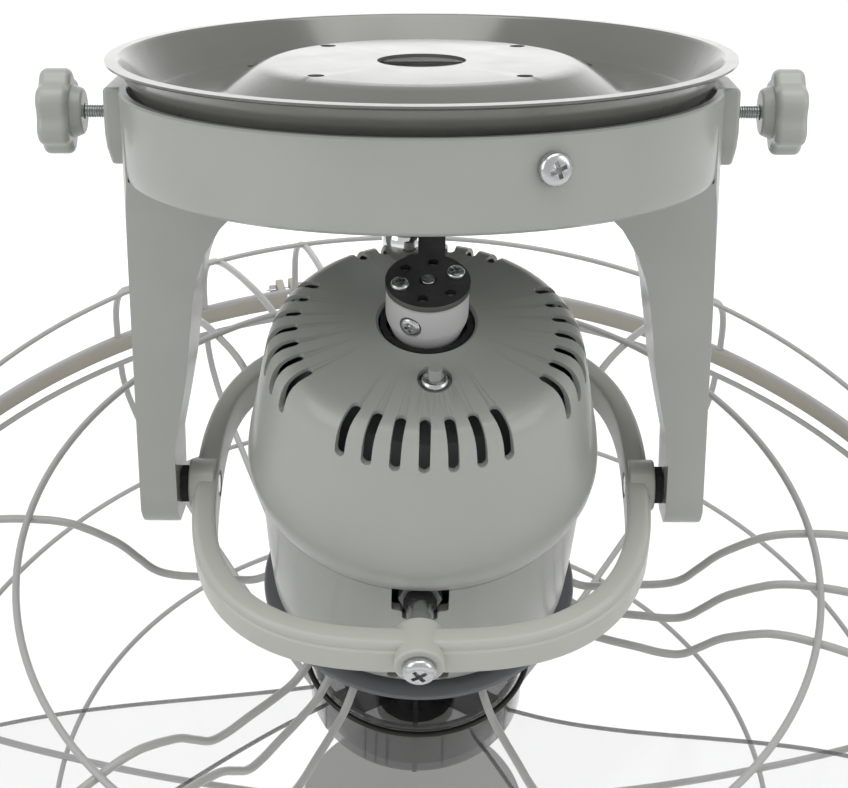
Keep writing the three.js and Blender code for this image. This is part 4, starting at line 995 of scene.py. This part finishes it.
# Extruded vinyl strip over the steel band: two ribs with a groove between, open at the clamp.
def makeBand():
    g = guard
    out, half, depth = g["band"], g["bandHeight"] / 2, -g["bandDepth"]
    inner = out - g["bandWall"]
    profile = [
        (inner, depth - half + 0.4), (inner + 0.5, depth - half), (out - 0.6, depth - half),
        (out, depth - half + 0.5), (out, depth - 1.7), (out - 0.5, depth - 1.3),
        (out - 0.7, depth - 0.9), (out - 0.7, depth + 0.9), (out - 0.5, depth + 1.3),
        (out, depth + 1.7), (out, depth + half - 0.5), (out - 0.6, depth + half),
        (inner + 0.5, depth + half), (inner, depth + half - 0.4),
    ]
    band = turnPiece("band", profile, 240)
    split = blockPiece(
        "split", (-1, out - 12, depth - 12), (1, out + 14, depth + 12), turn=(0, 0, g["clip"] + 180),
    )
    ears = []
    for side in (-1, 1):
        x = sorted((side * 1.05, side * 4.5))
        ear = bevelled(
            blockPiece("ear", (x[0], out - 1, depth - 4), (x[1], out + 9, depth + 4)), 0.9, 3, 50,
        )
        ears.append(moveTo(ear, turn=(0, 0, g["clip"] + 180)))
    cutWith(band, split)
    weldWith(band, *ears)
    at = placeAt(out + 5, g["clip"], depth)
    cutWith(band, rodPiece("bore", 1.9, -20, 20, 24, turn=(0, 90, g["clip"]), at=at))
    finishPiece(
        band, "guardBandStrip", "head", finishes["band_plastic"], ["guard_band"],
        headFrame, 40,
    )
    bolt = rodPiece("bolt", 1.6, -7, 9, 24, turn=(0, 90, g["clip"]), at=at)
    headOf = bevelled(rodPiece("boltHead", 3.2, -7.2, -4.85, 32), 0.5, 3, 50)
    moveTo(headOf, turn=(0, 90, g["clip"]), at=at)
    finishPiece(
        joined(bolt, headOf), "clampBolt", "head", finishes["zinc_steel"], ["clamp_bolt"],
        headFrame,
    )
    nut = bevelled(rodPiece("nut", 3.4, 4.85, 7.85, 6), 0.35, 2, 50)
    moveTo(nut, turn=(0, 90, g["clip"]), at=at)
    finishPiece(nut, "clampNut", "head", finishes["zinc_steel"], ["clamp_nut"], headFrame)


makeRearGuard()
makeFrontGuard()
makeBand()
print("guard made")


# Crank: a nylon boss on the output shaft, a steel arm across it and the orbit ball at its end

crank = {
    "radius": 12.0, "top": 80.3, "plate": 1.9, "circle": 8.4, "gap": 0.35, "stemOffset": -4.5,
    "ball": 7.5, "ballHeight": 79.5, "stud": 2.4, "studLength": 10.4, "setScrewTurn": -24,
    "setScrewHeight": 74, "armWidth": 8,
}
armSteel = metalFinish("greyedSteel", (0.16, 0.16, 0.158), 0.5)
nylon = moulded("bossNylon", (0.5, 0.505, 0.5), 0.4)


def makeCrank():
    c = crank
    toHead = (
        Matrix.Rotation(math.radians(pose["tilt"]), 3, "X") @ Matrix.Rotation(
            math.radians(pose["roll"]), 3, "Y",
        )
    ).inverted()
    ballAt = toHead @ Vector((c["stemOffset"], 0, c["ballHeight"]))
    plumb = (toHead @ Vector((0, 0, 1))).to_track_quat("Z", "Y").to_matrix().to_4x4()
    low = c["top"] + c["gap"]
    high = low + c["plate"]
    r = c["radius"]
    boss = turnPiece("boss", [
        (0, 52), (3.2, 52), (3.2, 57), (5.5, 57), (5.5, 58.6), (r - 2, 58.6), (r - 2, 64.6),
        (r - 1, 67.6), (r - 0.3, 69.6), (r, 71),
        (r, c["top"] - 0.5), (r - 0.5, c["top"]), (0, c["top"]),
    ], 96, closed=False)
    seat = rodPiece(
        "seat", 3.4, r - 1.4, r + 4, 40, turn=(90, 0, c["setScrewTurn"]),
        at=(0, 0, c["setScrewHeight"]),
    )
    bore = rodPiece(
        "bore", 1.9, 2, r + 4, 24, turn=(90, 0, c["setScrewTurn"]), at=(0, 0, c["setScrewHeight"]),
    )
    tapped = [
        rodPiece(
            "tapped", 1.5, c["top"] - 6, c["top"] + 4, 24, at=placeAt(c["circle"], turn),
        ) for turn in (-70, 110)
    ]
    cutWith(boss, seat, bore, *tapped)
    finishPiece(boss, "crankBoss", "crank", nylon, ["crank_boss"], headFrame, 40)

    disc = rodPiece("disc", r + 0.3, low, high, 96)
    half = c["armWidth"] / 2
    x, y = ballAt.x, ballAt.y
    outline = [
        (half + 1, 0), (half + 1, y - 7), (x + 7, y + 1), (x + 4, y + 6), (x - 4, y + 6), (x - 6, y),
        (1 - half, y - 9), (1 - half, 0),
    ]
    strap = platePiece("strap", outline, low, high)
    strap = bevelled(weldWith(disc, strap), 0.35, 2, 50)
    holes = [
        rodPiece(
            "hole", 1.6, low - 2, high + 2, 32, at=placeAt(c["circle"], 50 + turn),
        ) for turn in range(0, 360, 60)
    ]
    holes.append(rodPiece("hole", 2.4, low - 2, high + 2, 32))
    stud = rodPiece("hole", c["stud"] + c["gap"], 0, c["studLength"] + 4, 32)
    stud.data.transform(Matrix.Translation(ballAt * mm) @ plumb)
    cutWith(strap, *holes, stud)
    finishPiece(strap, "crankArm", "crank", armSteel, ["crank_arm"], headFrame, 40)

    pin = bevelled(rodPiece("pin", 2.05, low + 0.15, high + 0.5, 48), 0.3, 3, 50)
    finishPiece(
        pin, "centrePin", "crank", finishes["zinc_steel"], ["centre_pin"], headFrame,
    )
    for tag, azimuth in (("front", -70), ("rear", 110)):
        screw = panScrew("crankScrew", 2.7, 1.7, 1.15, 5)
        moveTo(screw, turn=(0, 0, 20), at=placeAt(c["circle"], azimuth, high + c["gap"] * 0.4))
        finishPiece(
            screw, "crankScrew_" + tag, "crank", finishes["zinc_steel"],
            ["crank_screw_" + tag], headFrame,
        )
    side = panScrew("setScrew", 3, 1.9, 1.4, 5)
    moveTo(side, turn=(0, 0, 15))
    moveTo(
        side, turn=(90, 0, c["setScrewTurn"]),
        at=placeAt(r - 1.3, c["setScrewTurn"], c["setScrewHeight"]),
    )
    finishPiece(
        side, "crankSetScrew", "crank", finishes["zinc_steel"], ["crank_set_screw"],
        headFrame,
    )

    startClean()
    bpy.ops.mesh.primitive_uv_sphere_add(segments=64, ring_count=40, radius=c["ball"] * mm)
    ball = bpy.context.object
    stem = bevelled(rodPiece("stud", c["stud"], 0, c["studLength"], 40), 0.3, 3, 50)
    weldWith(ball, stem)
    ball.data.transform(Matrix.Translation(ballAt * mm) @ plumb)
    finishPiece(ball, "orbitBall", "crank", finishes["chrome"], ["orbit_ball"], headFrame, 50)


makeCrank()
print("crank made")


# Fan: a clear smoky hub cup with ribs and three clear blades

fan = {
    "radius": 199, "cup": 36.6, "top": -77, "height": 26, "wall": 2, "shaft": 4.35, "ribs": 6,
    "first": -68, "pitch": 24, "chord": 128, "thick": 2.0,
}
hubPlastic = clearPlastic("smokyHub", (0.07, 0.07, 0.068), 0.6)
bladePlastic = clearPlastic("clearBlade", (0.5, 0.5, 0.52), 0.1)


def bladeOutline():
    f = fan
    steps = 28
    lead, trail = [], []
    root = f["cup"] - 1
    for i in range(steps + 1):
        along = i / steps
        r = root + (f["radius"] - root) * along
        width = f["chord"] * (0.34 + 0.66 * math.sin(math.pi * (0.12 + 0.66 * along)))
        if along > 0.88:
            width *= 0.86 + 0.14 * math.sqrt(max(0, 1 - ((along - 0.88) / 0.12) ** 2))
        sweep = 20 * along - 10
        reach = f["radius"] * 0.9
        for side, points in ((1, lead), (-1, trail)):
            turn = math.atan2(sweep + side * width / 2, reach)
            points.append((r * math.cos(turn), r * math.sin(turn)))
    return trail + lead[::-1]


def makeFan():
    f = fan
    low = f["top"] - f["height"]
    c = f["cup"]
    cup = turnPiece("cup", [
        (c, f["top"] - 0.4), (c, low + 4), (c - 1, low + 1.7), (c - 4, low), (f["shaft"], low),
        (f["shaft"], low + f["wall"]), (c - 5, low + f["wall"]),
        (c - 3, low + 3), (c - f["wall"], low + 5), (c - f["wall"], f["top"] - 0.4),
        (c - f["wall"] + 0.4, f["top"]), (c - 0.4, f["top"]),
    ], 128)
    sleeve = turnPiece(
        "sleeve",
        [
            (f["shaft"], low), (9, low), (9, f["top"] - 7), (8.2, f["top"] - 6),
            (f["shaft"], f["top"] - 6),
        ],
        64,
    )
    ribs = []
    for i in range(f["ribs"]):
        ribs.append(
            blockPiece(
                "rib", (-0.8, 8, low + 1), (0.8, c - 1, f["top"] - 9), turn=(0, 0, 360 * i / f["ribs"]),
            )
        )
    hub = joined(cup, sleeve, *ribs)
    finishPiece(hub, "fanHub", "rotor", hubPlastic, ["fan_blade"], headFrame, 40)
    middle = (f["top"] + low) / 2 - 2
    first = bevelled(platePiece("blade", bladeOutline(), -f["thick"] / 2, f["thick"] / 2), 0.7, 3, 60)
    first.data.transform(Matrix.Rotation(math.radians(f["pitch"]), 4, "X"))
    for i in range(3):
        blade = copyOf(first, "blade")
        moveTo(blade, turn=(0, 0, f["first"] - 90 + 120 * i), at=(0, 0, middle))
        finishPiece(
            blade, "fanBlade_" + str(i + 1), "rotor", bladePlastic, (), headFrame, 40,
        )
    rim = []
    for i in range(3):
        points = [Vector((x, y, 0)) for x, y in bladeOutline()[::3]]
        tilt = Matrix.Rotation(
            math.radians(f["first"] - 90 + 120 * i), 4, "Z",
        ) @ Matrix.Rotation(math.radians(f["pitch"]), 4, "X")
        rim.append(
            wireThrough("edge", [tuple((tilt @ p) + Vector((0, 0, middle))) for p in points], 0.75)
        )
    finishPiece(
        joined(rim[0], *rim[1:]), "bladeEdges", "rotor", hubPlastic, (), headFrame, 60,
    )
    bpy.data.objects.remove(first)
    hoop = hoopOf("hoop", c + 1.35, f["top"] - 1.4, 1)
    finishPiece(
        hoop, "hubHoop", "rotor", finishes["dark_steel"], ["hub_hoop"], headFrame, 60,
    )


makeFan()
print("fan made")


# Camera, floor and studio light

camera = bpy.data.objects.new("camera", bpy.data.cameras.new("camera"))
bpy.context.scene.collection.objects.link(camera)
camera.location = (0.00622, -0.5461, 0.0791)
camera.rotation_euler = (math.radians(90 - 18.66), 0, math.radians(0.58))
camera.data.sensor_width = 36
camera.data.lens = 79.0
camera.data.clip_start = 0.01
camera.data.clip_end = 50
bpy.context.scene.camera = camera


# A pale sweep behind and below the fan.
def makeBackdrop():
    startClean()
    bpy.ops.mesh.primitive_plane_add(size=8, location=(0, 0.4, -0.62))
    sweep = bpy.context.object
    sweep.name = "backdrop"
    bpy.ops.object.mode_set(mode="EDIT")
    bpy.ops.mesh.select_all(action="DESELECT")
    bpy.ops.object.mode_set(mode="OBJECT")
    for edge in sweep.data.edges:
        edge.select = all(sweep.data.vertices[i].co.y > 3 for i in edge.vertices)
    for vertex in sweep.data.vertices:
        vertex.select = vertex.co.y > 3
    bpy.ops.object.mode_set(mode="EDIT")
    bpy.ops.mesh.select_mode(type="EDGE")
    bpy.ops.mesh.extrude_region_move(TRANSFORM_OT_translate={"value": (0, 0, 5)})
    bpy.ops.object.mode_set(mode="OBJECT")
    material, tree, shader = newMaterial("paper", (0.93, 0.93, 0.93), 0.9)
    sweep.data.materials.append(material)


def areaLight(name, place, aim, size, power, colour=(1, 1, 1)):
    data = bpy.data.lights.new(name, "AREA")
    data.shape = "RECTANGLE"
    data.size, data.size_y = size
    data.energy = power
    data.color = colour
    lamp = bpy.data.objects.new(name, data)
    bpy.context.scene.collection.objects.link(lamp)
    lamp.location = place
    lamp.rotation_euler = (Vector(aim) - Vector(place)).to_track_quat("-Z", "Y").to_euler()
    return lamp


makeBackdrop()
areaLight("softAbove", (0.1, -0.35, 1.5), (0, 0.05, -0.1), (1.6, 1.2), 13)
areaLight("softLeft", (-1.4, -0.9, 0.6), (0, 0, -0.15), (1.0, 1.4), 8)
areaLight("softRight", (1.5, -0.7, 0.4), (0, 0, -0.15), (0.8, 1.2), 5)
areaLight("paperWash", (0, 2.2, 1.8), (0, 3.6, 0.2), (3, 1.5), 60)
skyWorld = bpy.data.worlds.new("studio")
skyWorld.use_nodes = True
skyWorld.node_tree.nodes["Background"].inputs["Color"].default_value = (1, 1, 1, 1)
skyWorld.node_tree.nodes["Background"].inputs["Strength"].default_value = 0.62
bpy.context.scene.world = skyWorld
bpy.context.scene.view_settings.view_transform = "Standard"
print("camera and light set")
